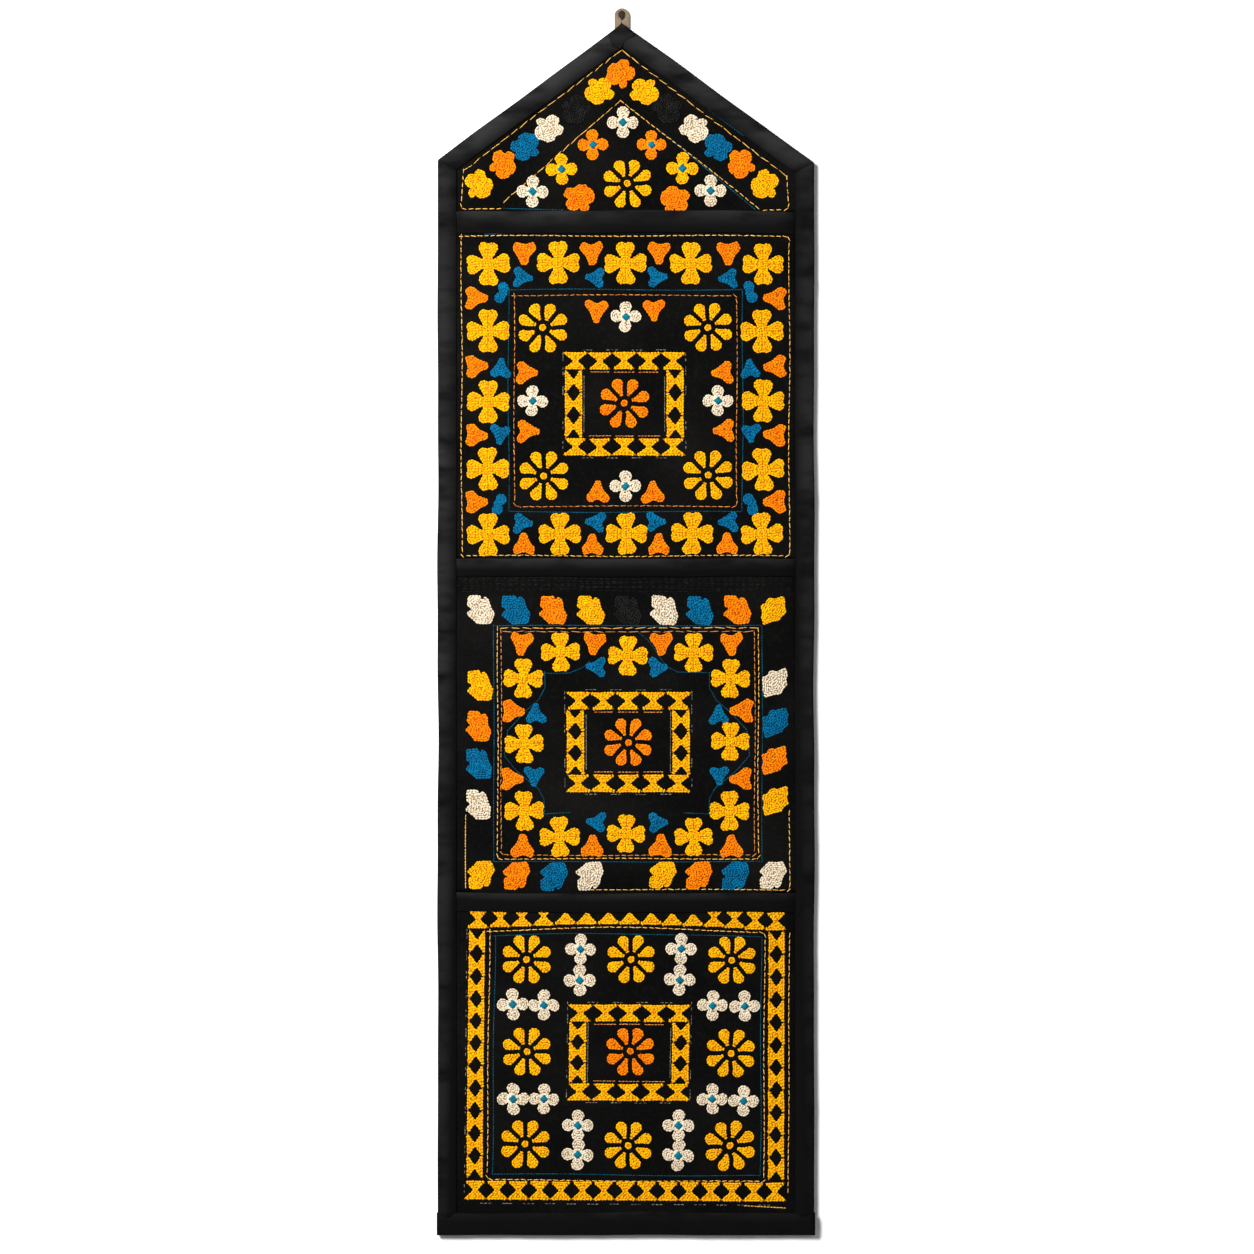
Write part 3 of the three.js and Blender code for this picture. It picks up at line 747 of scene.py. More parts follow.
# Eight drop-shaped petals round a dot.
def daisyField(x, y):
    field = np.hypot(x, y) - 2.3
    for eighth in range(8):
        u, v = turned(x, y, 22.5 + 45 * eighth)
        field = np.minimum(field, stroke(u, v, (5.8, 0), (13.1, 0), 0.8, 3.8))
    return field


# A rounded triangle with its point down and a shallow dip in its top.
def budField(x, y):
    corners = [(-5.4, 6.2), (-1.6, 4.9), (1.2, 4.7), (5.6, 6.3), (6.4, 3.4), (2.6, -1.6), (1.5, -6.3),
               (-0.6, -6.4), (-3.0, -1.2), (-6.5, 3.2)]
    return polygon(x, y, corners) - 1.4


# Three short arms.
def sprigField(x, y):
    field = stroke(x, y, (0, 0), (0.5, -5.6), 4.8, 2.3)
    for side, reach, rise in [(-1, 4.4, 3.4), (1, 4.9, 4.3)]:
        field = smoothMin(field, stroke(x, y, (0, 0.3), (side * reach, rise), 4.2, 3.1), 0.8)
    return field


# Two lobes, one over the other.
def twigField(x, y):
    field = smoothMin(np.hypot(x + 1.9, y - 4.0) - 4.2, np.hypot(x - 0.9, y + 3.8) - 4.3, 0.8)
    return smoothMin(field, np.hypot(x + 1.6, y + 0.6) - 3.4, 0.6)


# What shows of an hourglass where a tape covers its upper half.
def mountainField(x, y):
    corners = [(-7.0, -5.6), (7.0, -5.6), (2.5, -0.8), (1.0, 1.4), (-1.0, 1.4), (-2.5, -0.8)]
    return polygon(x, y, corners) - 0.3


# A square lobe and a short finger above, a point at the left and a broad foot.
def leafField(x, y):
    corners = [(-7.8, 8.6), (-0.6, 8.7), (0.6, 5.2), (3.2, 8.0), (5.1, 6.2), (6.4, 0.8), (8.6, -2.8),
               (6.9, -8.6), (-2.0, -8.7), (-8.7, -2.8), (-4.9, 0.9), (-8.2, 2.6)]
    return polygon(x, y, corners) - 0.9


def tallLeafField(x, y):
    return leafField(x / 0.9, y / 1.05)


# A leaf with its point down to the left and a lobed upper edge.
def slantLeafField(x, y):
    corners = [(7.2, 8.8), (8.0, 4.4), (7.3, 2.6), (8.2, -1.8), (5.4, -3.6), (3.6, -6.6), (0, -7.0),
               (-6.0, -9.2), (-7.4, -4.6), (-6.6, -2.0), (-7.6, 3.0), (-3.8, 4.4), (-3.4, 6.6), (-1.4, 7.8),
               (1.0, 7.0)]
    return polygon(x, y, corners) - 0.8


# A lopsided clump with uneven lobes.
def clusterField(x, y):
    corners = [(-9.4, 1.2), (-7.8, 5.0), (-5.6, 5.6), (-4.0, 8.0), (0.6, 8.2), (3.0, 5.6), (7.6, 6.0),
               (9.6, 2.4), (6.6, -0.8), (8.8, -3.4), (6.6, -7.2), (2.4, -7.8), (0.4, -5.4), (-2.6, -8.4),
               (-6.0, -7.4), (-4.6, -3.6), (-8.0, -2.6)]
    return polygon(x, y, corners) - 0.8


def diamondField(x, y):
    return (np.abs(x) + np.abs(y) - 2.7) / math.sqrt(2) - 0.4


# One hourglass of a lattice band, which runs along x. It may be wider above than below.
def hourglassField(length, band, shareAbove, shareBelow):
    above, below, v = shareAbove * length - 0.2, shareBelow * length - 0.2, band / 2 - 0.2
    waist = 0.1 * length
    corners = [(-below, -v), (below, -v), (waist, -0.4), (waist, 0.4), (above, v), (-above, v), (-waist, 0.4),
               (-waist, -0.4)]
    return lambda x, y: polygon(x, y, corners) - 0.2


# The loops along which a field of distances has a level, each with the inside on its left.
cellWays = {
    1: [(0, 3)], 2: [(1, 0)], 4: [(2, 1)], 8: [(3, 2)], 3: [(1, 3)], 6: [(2, 0)], 12: [(3, 1)], 9: [(0, 2)],
    7: [(2, 3)], 11: [(1, 2)], 13: [(0, 1)], 14: [(3, 0)], 5: [(0, 3), (2, 1)], 10: [(1, 0), (3, 2)],
}


def levelLoops(values, axis, level):
    value = values - level
    low = value < 0
    code = low[:-1, :-1] + 2 * low[:-1, 1:] + 4 * low[1:, 1:] + 8 * low[1:, :-1]
    following = {}
    for j, i in zip(*np.nonzero((code > 0) & (code < 15))):
        sides = [(0, j, i), (1, j, i + 1), (0, j + 1, i), (1, j, i)]
        for here, there in cellWays[int(code[j, i])]:
            following[sides[here]] = sides[there]
    step = axis[1] - axis[0]
    loops = []
    while following:
        side = next(iter(following))
        points = []
        while side in following:
            isUp, j, i = side
            a, b = value[j, i], value[j + isUp, i + 1 - isUp]
            share = a / (a - b)
            points.append((axis[i] + (1 - isUp) * share * step, axis[j] + isUp * share * step))
            side = following.pop(side)
        loops.append(np.array(points))
    return loops


# The same loop in even steps.
def evenLoop(points, spacing):
    closed = np.vstack([points, points[:1]])
    reach = np.concatenate([[0], np.cumsum(np.linalg.norm(np.diff(closed, axis=0), axis=1))])
    count = max(int(round(reach[-1] / spacing)), 5)
    at = np.arange(count) / count * reach[-1]
    return np.stack([np.interp(at, reach, closed[:, 0]), np.interp(at, reach, closed[:, 1])], 1), reach[-1]


# The stitching: rows of chain stitch one inside another, over a low pad.
stitching = {
    "grid": 0.3,
    "firstRow": 0.62,
    "rowPitch": 1.35,
    "shortestRow": 2.4,
    "rowRise": 0.06,
    "rowSlope": 0.1,
    "mostRise": 0.35,
    "tapeGap": 0.9,
    "padEdge": 0.15,
    "padRings": (1.5, 3.6),
    "outlineStep": 0.9,
    "ringStep": 1.8,
    "rowStep": 0.8,
    "padFoot": 0.08,
    "padRise": 0.3,
    # Painted shade on the pads: deep under the rows, light on a satin pad.
    "padTone": 0.1,
    "satinTone": 0.85,
    "unevenness": 0.16,
    "yaw": 0.16,
}


# A pad's points and faces: its outline, points within it, and how far each is from the outline.
def padOf(outline, within, field):
    points = [tuple(p) for loop in [outline, *within] for p in loop]
    edges = [(i, (i + 1) % len(outline)) for i in range(len(outline))]
    made = delaunay_2d_cdt(points, edges, [], 1, 1e-5)
    flat = np.array([(p[0], p[1]) for p in made[0]])
    inside = np.clip(-field(flat[:, 0], flat[:, 1]) - stitching["padEdge"], 0, None)
    return flat, [tuple(face) for face in made[2]], inside


# The pads of a motif and its rows, with how high each row stands.
def motifRows(fields, reach, mostRows=9):
    axis = np.arange(-reach, reach + stitching["grid"], stitching["grid"])
    x, y = np.meshgrid(axis, axis)
    pads = []
    rows = []
    for field in fields:
        values = field(x, y)
        within = []
        for ring in stitching["padRings"]:
            loops = levelLoops(values, axis, -ring)
            within += [evenLoop(loop, stitching["ringStep"])[0] for loop in loops]
        for loop in levelLoops(values, axis, -stitching["padEdge"]):
            outline = evenLoop(loop, stitching["outlineStep"])[0]
            low, high = outline.min(0), outline.max(0)
            own = [ring for ring in within if np.all(ring.min(0) > low) and np.all(ring.max(0) < high)]
            pads.append(padOf(outline, own, field))
        level = -stitching["firstRow"]
        while level > values.min() and level > -0.7 - (mostRows - 1) * stitching["rowPitch"]:
            for loop in levelLoops(values, axis, level):
                even, length = evenLoop(loop, stitching["rowStep"])
                if length > stitching["shortestRow"]:
                    rise = stitching["rowRise"] - stitching["rowSlope"] * level
                    rows.append((even, min(rise, stitching["mostRise"])))
            level -= stitching["rowPitch"]
    return pads, rows


# The lattices: their middle, their size, and how many hourglasses lie across and stand in an upright.
lattices = {
    "top": {"x": 1.6, "drop": 258.8, "width": 78.8, "height": 68.4, "band": 11.4, "pitch": 16.2},
    "middle": {"x": 4.2, "drop": 482.9, "width": 81.6, "height": 66.4, "band": 11.6, "pitch": 16.6},
    "bottom": {"x": 3.2, "drop": 689.8, "width": 79.8, "height": 63.2, "band": 11.2, "pitch": 16.3},
    "border": {"x": 2.2, "drop": 691.5, "width": 212, "height": 189, "band": 12, "pitch": 14.2},
}
motifs = {
    "clover": motifRows([cloverField], 16),
    "blossom": motifRows([blossomPetal(quarter) for quarter in range(4)] + [blossomMiddle], 13, 3),
    "daisy": motifRows([daisyField], 19),
    "bud": motifRows([budField], 10),
    "sprig": motifRows([sprigField], 10),
    "leaf": motifRows([leafField], 12),
    "tallLeaf": motifRows([tallLeafField], 13),
    "slantLeaf": motifRows([slantLeafField], 13),
    "twig": motifRows([twigField], 11),
    "mountain": motifRows([mountainField], 10),
    "cluster": motifRows([clusterField], 12),
    "diamond": motifRows([diamondField], 5),
}
for name, lattice in lattices.items():
    isBorder = name == "border"
    lattice["across"], lattice["up"] = (15, 11) if isBorder else (5, 3)
    lattice["inner"] = lattice["height"] - 2 * lattice["band"]
    upright = hourglassField(lattice["inner"] / lattice["up"], lattice["band"] - 1.3 * isBorder, 0.54, 0.54)
    motifs[name + "Across"] = motifRows([hourglassField(lattice["pitch"], lattice["band"], 0.53, 0.45)], 12)
    motifs[name + "Upright"] = motifRows([upright], 12)
border = lattices["border"]
motifs["borderTop"] = motifRows([hourglassField(border["pitch"], border["band"], 0.46, 0.53)], 12)
print("motif rows drawn")


# Motifs as (shape, thread, x, z, turn, flip, size), with places from the eye of the loop. put() takes places
# from the middle of a part.
layout = {"peak": [], "top": [], "middle": [], "bottom": []}
centres = {"peak": (0, 0), "top": (2.4, -257), "middle": (3.4, -485), "bottom": (3.4, -689.5)}


def put(part, shape, thread, x, z, turn=0, flip=1, size=1.0):
    layout[part].append((shape, thread, centres[part][0] + x, centres[part][1] + z, turn, flip, size))


# One motif in each of the four quarters, the lower two a little raised.
def putQuarters(part, shape, thread, x, z, turn=0, size=1.0, raised=0):
    put(part, shape, thread, x, z, turn, 1, size)
    put(part, shape, thread, -x, z, -turn, -1, size)
    put(part, shape, thread, x, raised - z, 180 - turn, 1, size)
    put(part, shape, thread, -x, raised - z, turn - 180, -1, size)


def middles(values):
    return [(a + b) / 2 for a, b in zip(values, values[1:])]


# The lowest pocket's cloth is pulled: up towards the middle of its top, where the mouth tape covers the
# border, and to the right above its left side.
def pulled(x, z):
    middle = np.clip(1 - ((x - border["x"]) * 2 / border["width"]) ** 2, 0, 1)
    left = np.clip(0.5 - (x - border["x"]) / border["width"], 0, 1)
    upper = np.clip((z + 790) / 180, 0, 1.1)
    top = np.clip((z + 622) / 14, 0, 1)
    rise = 1.5 * left * (1 - 0.7 * np.clip((z + 690) / 60, 0, 1))
    rise = rise + 1.6 * middle**2 * np.clip((z + 700) / 70, 0, 1) + (0.8 + 1.2 * left + 2.4 * middle) * top
    return x + upper * (1.9 * left + 2.2 * np.sin(np.pi * left)) - 0.3 * left, z + rise


# A lattice's hourglasses. Those at the border's foot lie lower and are larger, and at the middle of its top
# the tape covers their upper halves.
def putLattice(part, name):
    lattice = lattices[name]
    centreX, centreZ = lattice["x"] - centres[part][0], -lattice["drop"] - centres[part][1]
    band, across, up = lattice["band"], lattice["across"], lattice["up"]
    for side in (-0.5, 0.5):
        shape, lower, size = name + "Across", 0, 1.0
        if name == "border" and side < 0:
            lower, size = 1.8, 1.04
        for i in range(across):
            if name == "border" and side > 0:
                shape = "mountain" if 4 <= i <= 10 else "borderTop"
            x = centreX + (i + 0.5 - across / 2) * lattice["pitch"]
            z = centreZ + side * (lattice["height"] - band) - lower
            put(part, shape, "yellow", x, z, 0 if side > 0 else 180, 1, size)
        for i in range(up):
            z = centreZ + ((i + 0.5) / up - 0.5) * lattice["inner"]
            put(part, name + "Upright", "yellow", centreX + side * (lattice["width"] - band), z, 90)


def layPeak():
    pairs = [
        ("cluster", "yellow", 15.3, 51, 175, 0.98),
        ("cluster", "black", 30.5, 63, 140, 0.97),
        ("cluster", "cream", 48.6, 76, 160, 0.97),
        ("cluster", "blue", 64, 88, -25, 0.97),
        ("cluster", "orange", 79, 99.5, 100, 0.97),
        ("cluster", "yellow", 94.5, 113.5, 70, 0.98),
        ("blossom", "orange", 20, 86.5, 0, 0.96),
        ("blossom", "yellow", 40, 102.2, 0, 1.02),
        ("blossom", "cream", 59.3, 117.4, 0, 1.02),
    ]
    for shape, thread, x, drop, turn, size in pairs:
        put("peak", shape, thread, x, -drop, turn, 1, size)
        put("peak", shape, thread, -x, -drop, -turn, -1, size)
    put("peak", "cluster", "orange", 34.9, -122)
    put("peak", "cluster", "orange", -28.6, -122, 0, -1)
    put("peak", "cluster", "orange", -0.8, -39, 45, 1, 0.95)
    put("peak", "blossom", "cream", 0.5, -72, 0, 1, 1.03)
    put("peak", "daisy", "yellow", 3, -113)


def layTop():
    across = [-91, -44, 0, 44, 91]
    up = [91, 46.5, 0, -45, -88]
    for i, x in enumerate(across):
        for j, z in enumerate(up):
            if i in (0, 4) or j in (0, 4):
                put("top", "clover", "yellow", x, z)
    for x in middles(across):
        put("top", "bud", "orange", x, 98)
        put("top", "bud", "orange", x, -94.6, 180, 1, 0.94)
    for z in middles(up):
        put("top", "bud", "orange", 99, z, -90)
        put("top", "bud", "orange", -99, z, 90, -1)
    for x, z, turn, raised in [(68.2, 81.8, -90, 1.6), (20.5, 81.5, 90, 1.6), (83, 21.5, 180, 0)]:
        putQuarters("top", "sprig", "blue", x, z, turn, 0.86, raised)
    putQuarters("top", "twig", "blue", 83.0, 71.8, 0, 0.86, 3.2)
    putQuarters("top", "daisy", "yellow", 54.5, 49)
    put("top", "daisy", "orange", -1.0, -1.8)
    for x, z in [(61.5, 0), (-61.5, 0), (0, 56.5), (0, -56.5)]:
        put("top", "blossom", "cream", x, z)
    putQuarters("top", "sprig", "orange", 18.4, 60)
    putQuarters("top", "sprig", "orange", 65, 19, -90)
    putLattice("top", "top")


def layMiddle():
    topRow = ["cream", "blue", "orange", "yellow", "black", "cream", "blue", "orange", "yellow"]
    column = ["yellow", "orange", "blue", "cream"]
    footRow = [*column, None, *column]
    for i, x in enumerate([-96.5, -73, -48.5, -24, 1.3, 24, 48.5, 73, 96.5]):
        put("middle", "leaf" if i < 8 else "slantLeaf", topRow[i], x, 89.7)
        if footRow[i]:
            put("middle", "leaf", footRow[i], x, -86.7, 180, -1, 0.96)
    for i, z in enumerate([39.5, 12.5, -12.5, -39.5]):
        put("middle", "tallLeaf", column[i], -98, z)
        put("middle", "slantLeaf", column[3 - i], 97.6, z + 2.3)
    for x, z in [(44.2, 61), (68.5, 44)]:
        putQuarters("middle", "clover", "yellow", x, z, 0, 0.93)
    for x, z in [(68.5, 2.4), (-68.5, 1.0), (0, 59.5), (0, -59.5)]:
        put("middle", "clover", "yellow", x, z, 0, 1, 0.93)
    for x, z, turn in [(69.5, 67, 0), (22.5, 67, 0), (75.5, 22.5, -90)]:
        putQuarters("middle", "bud", "orange", x, z, turn)
    for x, z, turn in [(20.5, 51.5, 90), (61, 20.5, 180)]:
        putQuarters("middle", "sprig", "blue", x, z, turn, 0.86)
    put("middle", "daisy", "orange", 0.6, 1.6)
    putLattice("middle", "middle")


def layBottom():
    for x in (-68, 0, 68):
        for z in (61.5, 0, -61.5):
            put("bottom", "daisy", "orange" if x == 0 and z == 0 else "yellow", x, z)
    for x, z in [(33.5, 68.2), (33.5, 48), (56.4, 31.3), (76.8, 31.3)]:
        putQuarters("bottom", "blossom", "cream", x, z)
    putLattice("bottom", "bottom")
    putLattice("bottom", "border")


layPeak()
layTop()
layMiddle()
layBottom()


# Turns motif points into places on the cloth, a little uneven as hand work is.
def placed(points, x, z, turn, flip, size, wobble):
    u, v = points.T * size
    u, v = u + wobble[0] * np.sin(v * 0.5 + wobble[1]), v + wobble[0] * np.sin(u * 0.45 + wobble[2])
    angle = math.radians(turn + wobble[3])
    c, s = math.cos(angle), math.sin(angle)
    return np.stack([x + flip * u * c - v * s, z + flip * u * s + v * c], 1)


# The height of the lower edge of the tape over a pocket's mouth.
def tapeFoot(part):
    return 1.0 - pockets[part]["mouth"] - pockets[part]["tape"] if part in pockets else 0.0


# Flat places laid on a cloth, and the ways it faces there.
def onCloth(part, flat):
    x, z = flat.T
    return np.stack([x, clothFront(part, x, z), z], 1), clothFacing(part, x, z)


# Rows of stitches for a thread: points in millimetres, the way the cloth faces, and chains of neighbours.
# With them go the pads that lie under the rows.
class Rows:
    def __init__(self):
        self.points = [np.empty((0, 3))]
        self.facing = [np.empty((0, 3))]
        self.edges = [np.empty((0, 2), int)]
        self.count = 0
        self.padPoints = [np.empty((0, 3))]
        self.padFaces = []
        self.padTones = []

    # The part of a row that would lie under a mouth tape is left out.
    def addRow(self, part, flat, rise, closed=True):
        bare = flat[:, 1] < tapeFoot(part) + stitching["tapeGap"]
        if closed and not bare.all() and bare.any():
            first = int(np.argmax(bare & ~np.roll(bare, 1)))
            flat, bare, closed = np.roll(flat, -first, 0), np.roll(bare, -first), False
        flat = flat[bare] if not closed else flat
        if len(flat) < 3 or not bare.any():
            return
        place, facing = onCloth(part, flat)
        at = np.arange(len(flat)) + self.count
        following = np.roll(at, -1) if closed else at[1:]
        self.edges.append(np.stack([at[: len(following)], following], 1))
        self.points.append(place + facing * rise)
        self.facing.append(facing)
        self.count += len(flat)

    # A low pad under the rows, domed and closed all round.
    def addPad(self, part, flat, faces, low, high, tone):
        first, count = len(self.padTones), len(flat)
        self.padTones += [tone] * (2 * count)
        high = np.where(flat[:, 1] > tapeFoot(part) + 0.4, 0.03, high)
        base, facing = onCloth(part, flat)
        self.padPoints += [base + facing * high[:, None], base + facing * low]
        faces = [tuple(first + i for i in face) for face in faces]
        for a, b, c in faces:
            self.padFaces += [(a, b, c), (a + count, c + count, b + count)]
        sides = dict.fromkeys((a, b) for face in faces for a, b in zip(face, face[1:] + face[:1]))
        self.padFaces += [(b, a, a + count, b + count) for a, b in sides if (b, a) not in sides]


rowsOf = {}


def rowsFor(part, thread, kind):
    return rowsOf.setdefault((part, thread, kind), Rows())


# One motif: its pads and its rows of chain stitch, lifted off the cloth where it lies on another.
def layMotif(part, thread, shape, where, lift, isSatin=False):
    pads, rows = motifs[shape]
    chain = rowsFor(part, thread, "Chain")
    flip = where[3]
    foot = stitching["padFoot"]
    tone = stitching["satinTone"] if isSatin else stitching["padTone"]
    for flat, faces, inside in pads:
        high = lift + foot + (stitching["padRise"] - foot) * np.clip(inside / 1.6, 0, 1)
        faces = faces if flip > 0 else [face[::-1] for face in faces]
        chain.addPad(part, placed(flat, *where), faces, lift - 0.3, high, tone)
    for row, rise in [] if isSatin else rows:
        chain.addRow(part, placed(row, *where), lift + rise)


for part, items in layout.items():
    for shape, thread, x, z, turn, flip, size in items:
        loose = 0.3 if shape.endswith(("Across", "Upright", "Top", "mountain")) else 1.0
        wobble = (
            chance.uniform(0.1, 0.3) * loose,
            chance.uniform(0, 6),
            chance.uniform(0, 6),
            chance.normal(0, 2.0) * loose,
        )
        x = x + chance.normal(0, 0.35) * loose
        z = z + chance.normal(0, 0.35) * loose
        size = size * chance.uniform(0.97, 1.03) ** loose
        if part == "bottom":
            x, z = pulled(x, z)
        where = (x, z, turn, flip, size, wobble)
        layMotif(part, thread, shape, where, 0)
        if shape == "blossom":
            layMotif(part, "teal", "diamond", where, 0.95, True)


# Lines of stitches, as places in x and drop: "Line" is running stitch, "Long" is the same with longer
# stitches, and "Fine" is thin and close.
def rectangle(left, right, top, foot):
    return [(left, top), (right, top), (right, foot), (left, foot), (left, top)]


def layLine(part, thread, corners, wave=0.25, kind="Line"):
    step = 1.5
    corners = np.array(corners, float)
    pieces = []
    for start, end in zip(corners, corners[1:]):
        share = np.linspace(0, 1, max(int(np.linalg.norm(end - start) / step), 1), endpoint=False)[:, None]
        pieces.append(start * (1 - share) + end * share)
    path = np.vstack([*pieces, corners[-1:]])
    # A long stitch reaches past the places at its row's two ends.
    path = path[2:-2] if kind == "Long" else path
    reach = np.arange(len(path)) * step
    phase = chance.uniform(0, 6)
    x = path[:, 0] + wave * np.sin(reach / 19 + phase)
    z = -path[:, 1] - wave * np.sin(reach / 23 + 2 * phase)
    if part == "bottom":
        x, z = pulled(x, z)
    rowsFor(part, thread, kind).addRow(part, np.stack([x, z], 1), 0.03, closed=False)


def layMark(part, thread, x, z, length, isUpright=False):
    half = length / 2 * chance.uniform(0.8, 1.1)
    ends = [(x, -z - half), (x, -z + half)] if isUpright else [(x - half, -z), (x + half, -z)]
    layLine(part, thread, ends, 0.1, "Fine")


# Short marks beside a small lattice: pale over each diamond, golden inside the top and the foot.
def layLatticeMarks(name):
    lattice = lattices[name]
    x, z = lattice["x"], -lattice["drop"]
    width, height, across = lattice["width"], lattice["height"], lattice["across"]
    for side in (-1, 1):
        for i in range(1, across):
            layMark(name, "ash", x + (i - across / 2) * lattice["pitch"], z + side * (height / 2 + 1.5), 5.5)
        for i in range(1, across - 1):
            markX = x + (i + 0.5 - across / 2) * lattice["pitch"]
            layMark(name, "copper", markX, z + side * (lattice["inner"] / 2 - 1.7), 12.5)
        innerX = x + side * (width / 2 - lattice["band"] - 1.2)
        layMark(name, "ash", innerX, z, lattice["inner"] - 6, isUpright=True)
        for rise in (-27, -14, 9, 22, 31):
            layMark(name, "ash", x + side * (width / 2 + 1.3), z + rise, 4.2, isUpright=True)


layLine("peak", "gold", [(-82, 129), (-107, 129.3), (-105, 104)])
layLine("peak", "gold", [(-105, 103.5), (-0.6, 23.6)], 0.12, "Long")
layLine("peak", "gold", [(0.4, 24.2), (109.5, 107.6)], 0.12, "Long")
layLine("peak", "gold", [(109.7, 108), (111, 129.3), (95, 130)])
layLine("peak", "gold", [(-79, 124.7), (-0.6, 56.9)], 0.12, "Long")
layLine("peak", "gold", [(0.2, 57.6), (89.8, 128)])
layLine("peak", "navy", [(-78, 128.6), (-40, 129.4)], kind="Fine")
layLine("peak", "navy", [(24, 76), (88, 129)], kind="Fine")
layLine("peak", "navy", [(46, 54), (80, 80)], kind="Fine")
layLine("top", "gold", rectangle(-106.4, 111.0, 147.6, 359.4), 0.4)
layLine("top", "navy", [(-90, 146.2), (-74, 145.9)], kind="Fine")
layLine("top", "copper", rectangle(-71.4, 76.1, 186.9, 326.5), 0.3)
layLine("top", "navy", rectangle(-75.2, 80.0, 183.2, 330.2), 0.4, "Fine")
layLine("middle", "gold", [(-81, 407.4), (90.4, 407.2)], 0.1, "Long")
layLine("middle", "gold", [(-82.4, 407.4), (-82.4, 560.4), (90.4, 560.4), (90.4, 408.4)], 0.3)
layLine("middle", "copper", [(-79, 409.8), (87, 409.6)], 0.1, "Long")
layLine("middle", "copper", [(-80.1, 409.8), (-80.1, 558), (88.1, 558), (88.1, 411)], 0.3)
layLine("middle", "navy", rectangle(-85.0, 93.0, 405.7, 562.4), 0.2, "Fine")
scallop = [(-51, 437.1), (-51, 447), (-55.5, 455), (-65, 463), (-76, 475), (-78, 492), (-70.5, 501),
           (-62.5, 508), (-55, 514), (-51.4, 521), (-50.9, 530.8), (-35, 530)]
layLine("middle", "navy", scallop, 0.3, "Fine")
layLine("middle", "navy", [(6.8 - x, drop) for x, drop in scallop], 0.3, "Fine")
layLine("middle", "navy", [(-51, 437.1), (-35, 437), (-25.8, 433.4), (-22, 430)], 0.2, "Fine")
loose = [(11.5, 410.7), (16, 414.5), (20.8, 420), (25.5, 427.5), (30.1, 433.4), (37.3, 436.7), (57.8, 437.1)]
layLine("middle", "navy", loose, 0.2, "Fine")
layLine("middle", "gold", [(-24, 580.8), (111.2, 581.2), (111.2, 530)])
layLine("middle", "gold", [(-103.7, 532), (-103.7, 579)], kind="Fine")
for drop in (374.6, 376.2, 377.8, 379.4, 381.0, 382.6):
    layLine("middle", "black", [(-104, drop), (111, drop)], 0.5, "Line")
layLine("bottom", "gold", rectangle(-89.6, 94.0, 610.6, 774.9), 0.3)
layLine("bottom", "navy", rectangle(-86.0, 91.8, 613.6, 771.0), 0.4, "Fine")
layLine("bottom", "gold", [(111.0, 612), (110.4, 781)], 0.2)
for drop in range(612, 786, 13):
    layMark("bottom", "ash", -104.4, -drop, 4.0, isUpright=True)
for i in range(1, border["across"]):
    layMark("bottom", "ash", border["x"] + (i - border["across"] / 2) * border["pitch"], -790.6, 5.5)
layLine("bottom", "gold", [(82, 791.2), (108, 792.4)], 0.1, "Fine")
for name in ("top", "middle", "bottom"):
    layLatticeMarks(name)

links = {
    "Chain": {"spacing": 2.2, "length": 2.75, "width": 1.5, "height": 0.62},
    "Line": {"spacing": 4.3, "length": 3.7, "width": 0.5, "height": 0.36},
    "Long": {"spacing": 7.4, "length": 6.9, "width": 0.42, "height": 0.36},
    "Fine": {"spacing": 2.0, "length": 2.1, "width": 0.55, "height": 0.35},
}


def ringTurns(count):
    return np.linspace(0, 2 * math.pi, count, endpoint=False)


# One link of chain stitch: an oval with a hollow in its middle, narrower where the next one holds it.
def linkMesh():
    sides = 7
    points = []
    for length, width, height in ((0.5, 0.5, 0), (0.34, 0.33, 1)):
        points += [(length * math.cos(a), width * math.sin(a) * (1 + 0.15 * math.cos(a)), height)
                   for a in ringTurns(sides)]
    points.append((0, 0, 0.5))
    foot, _, *around = ringFaces(sides, 2)
    hollow = [(sides + i, sides + (i + 1) % sides, 2 * sides) for i in range(sides)]
    mesh = meshFrom("Chain_link", np.array(points) / mm, [foot, *around, *hollow])
    # Its tone is painted shade: dark at its foot and deepest in its hollow, full at its crest.
    setValues(mesh, "tone", [0.3] * sides + [1.0] * sides + [0.25])
    return mesh


# One running stitch: a short length of thread with its ends drawn in.
def dashMesh():
    sides = 5
    rings = [(-0.5, 0.35), (-0.3, 1.0), (0.3, 1.0), (0.5, 0.35)]
    points = [(x, 0.5 * r * math.cos(a), 0.5 + 0.5 * r * math.sin(a) - 0.25 * (1 - r))
              for x, r in rings for a in ringTurns(sides) + math.pi / 2]
    mesh = meshFrom("Running_stitch", np.array(points) / mm, ringFaces(sides, len(rings)))
    # Its tone is painted shade, darker at its drawn-in ends.
    setValues(mesh, "tone", [0.4] * sides + [1.0] * (2 * sides) + [0.4] * sides)
    return mesh


chainLink = addObject("Chain_link", linkMesh())
runningStitch = addObject("Running_stitch", dashMesh())


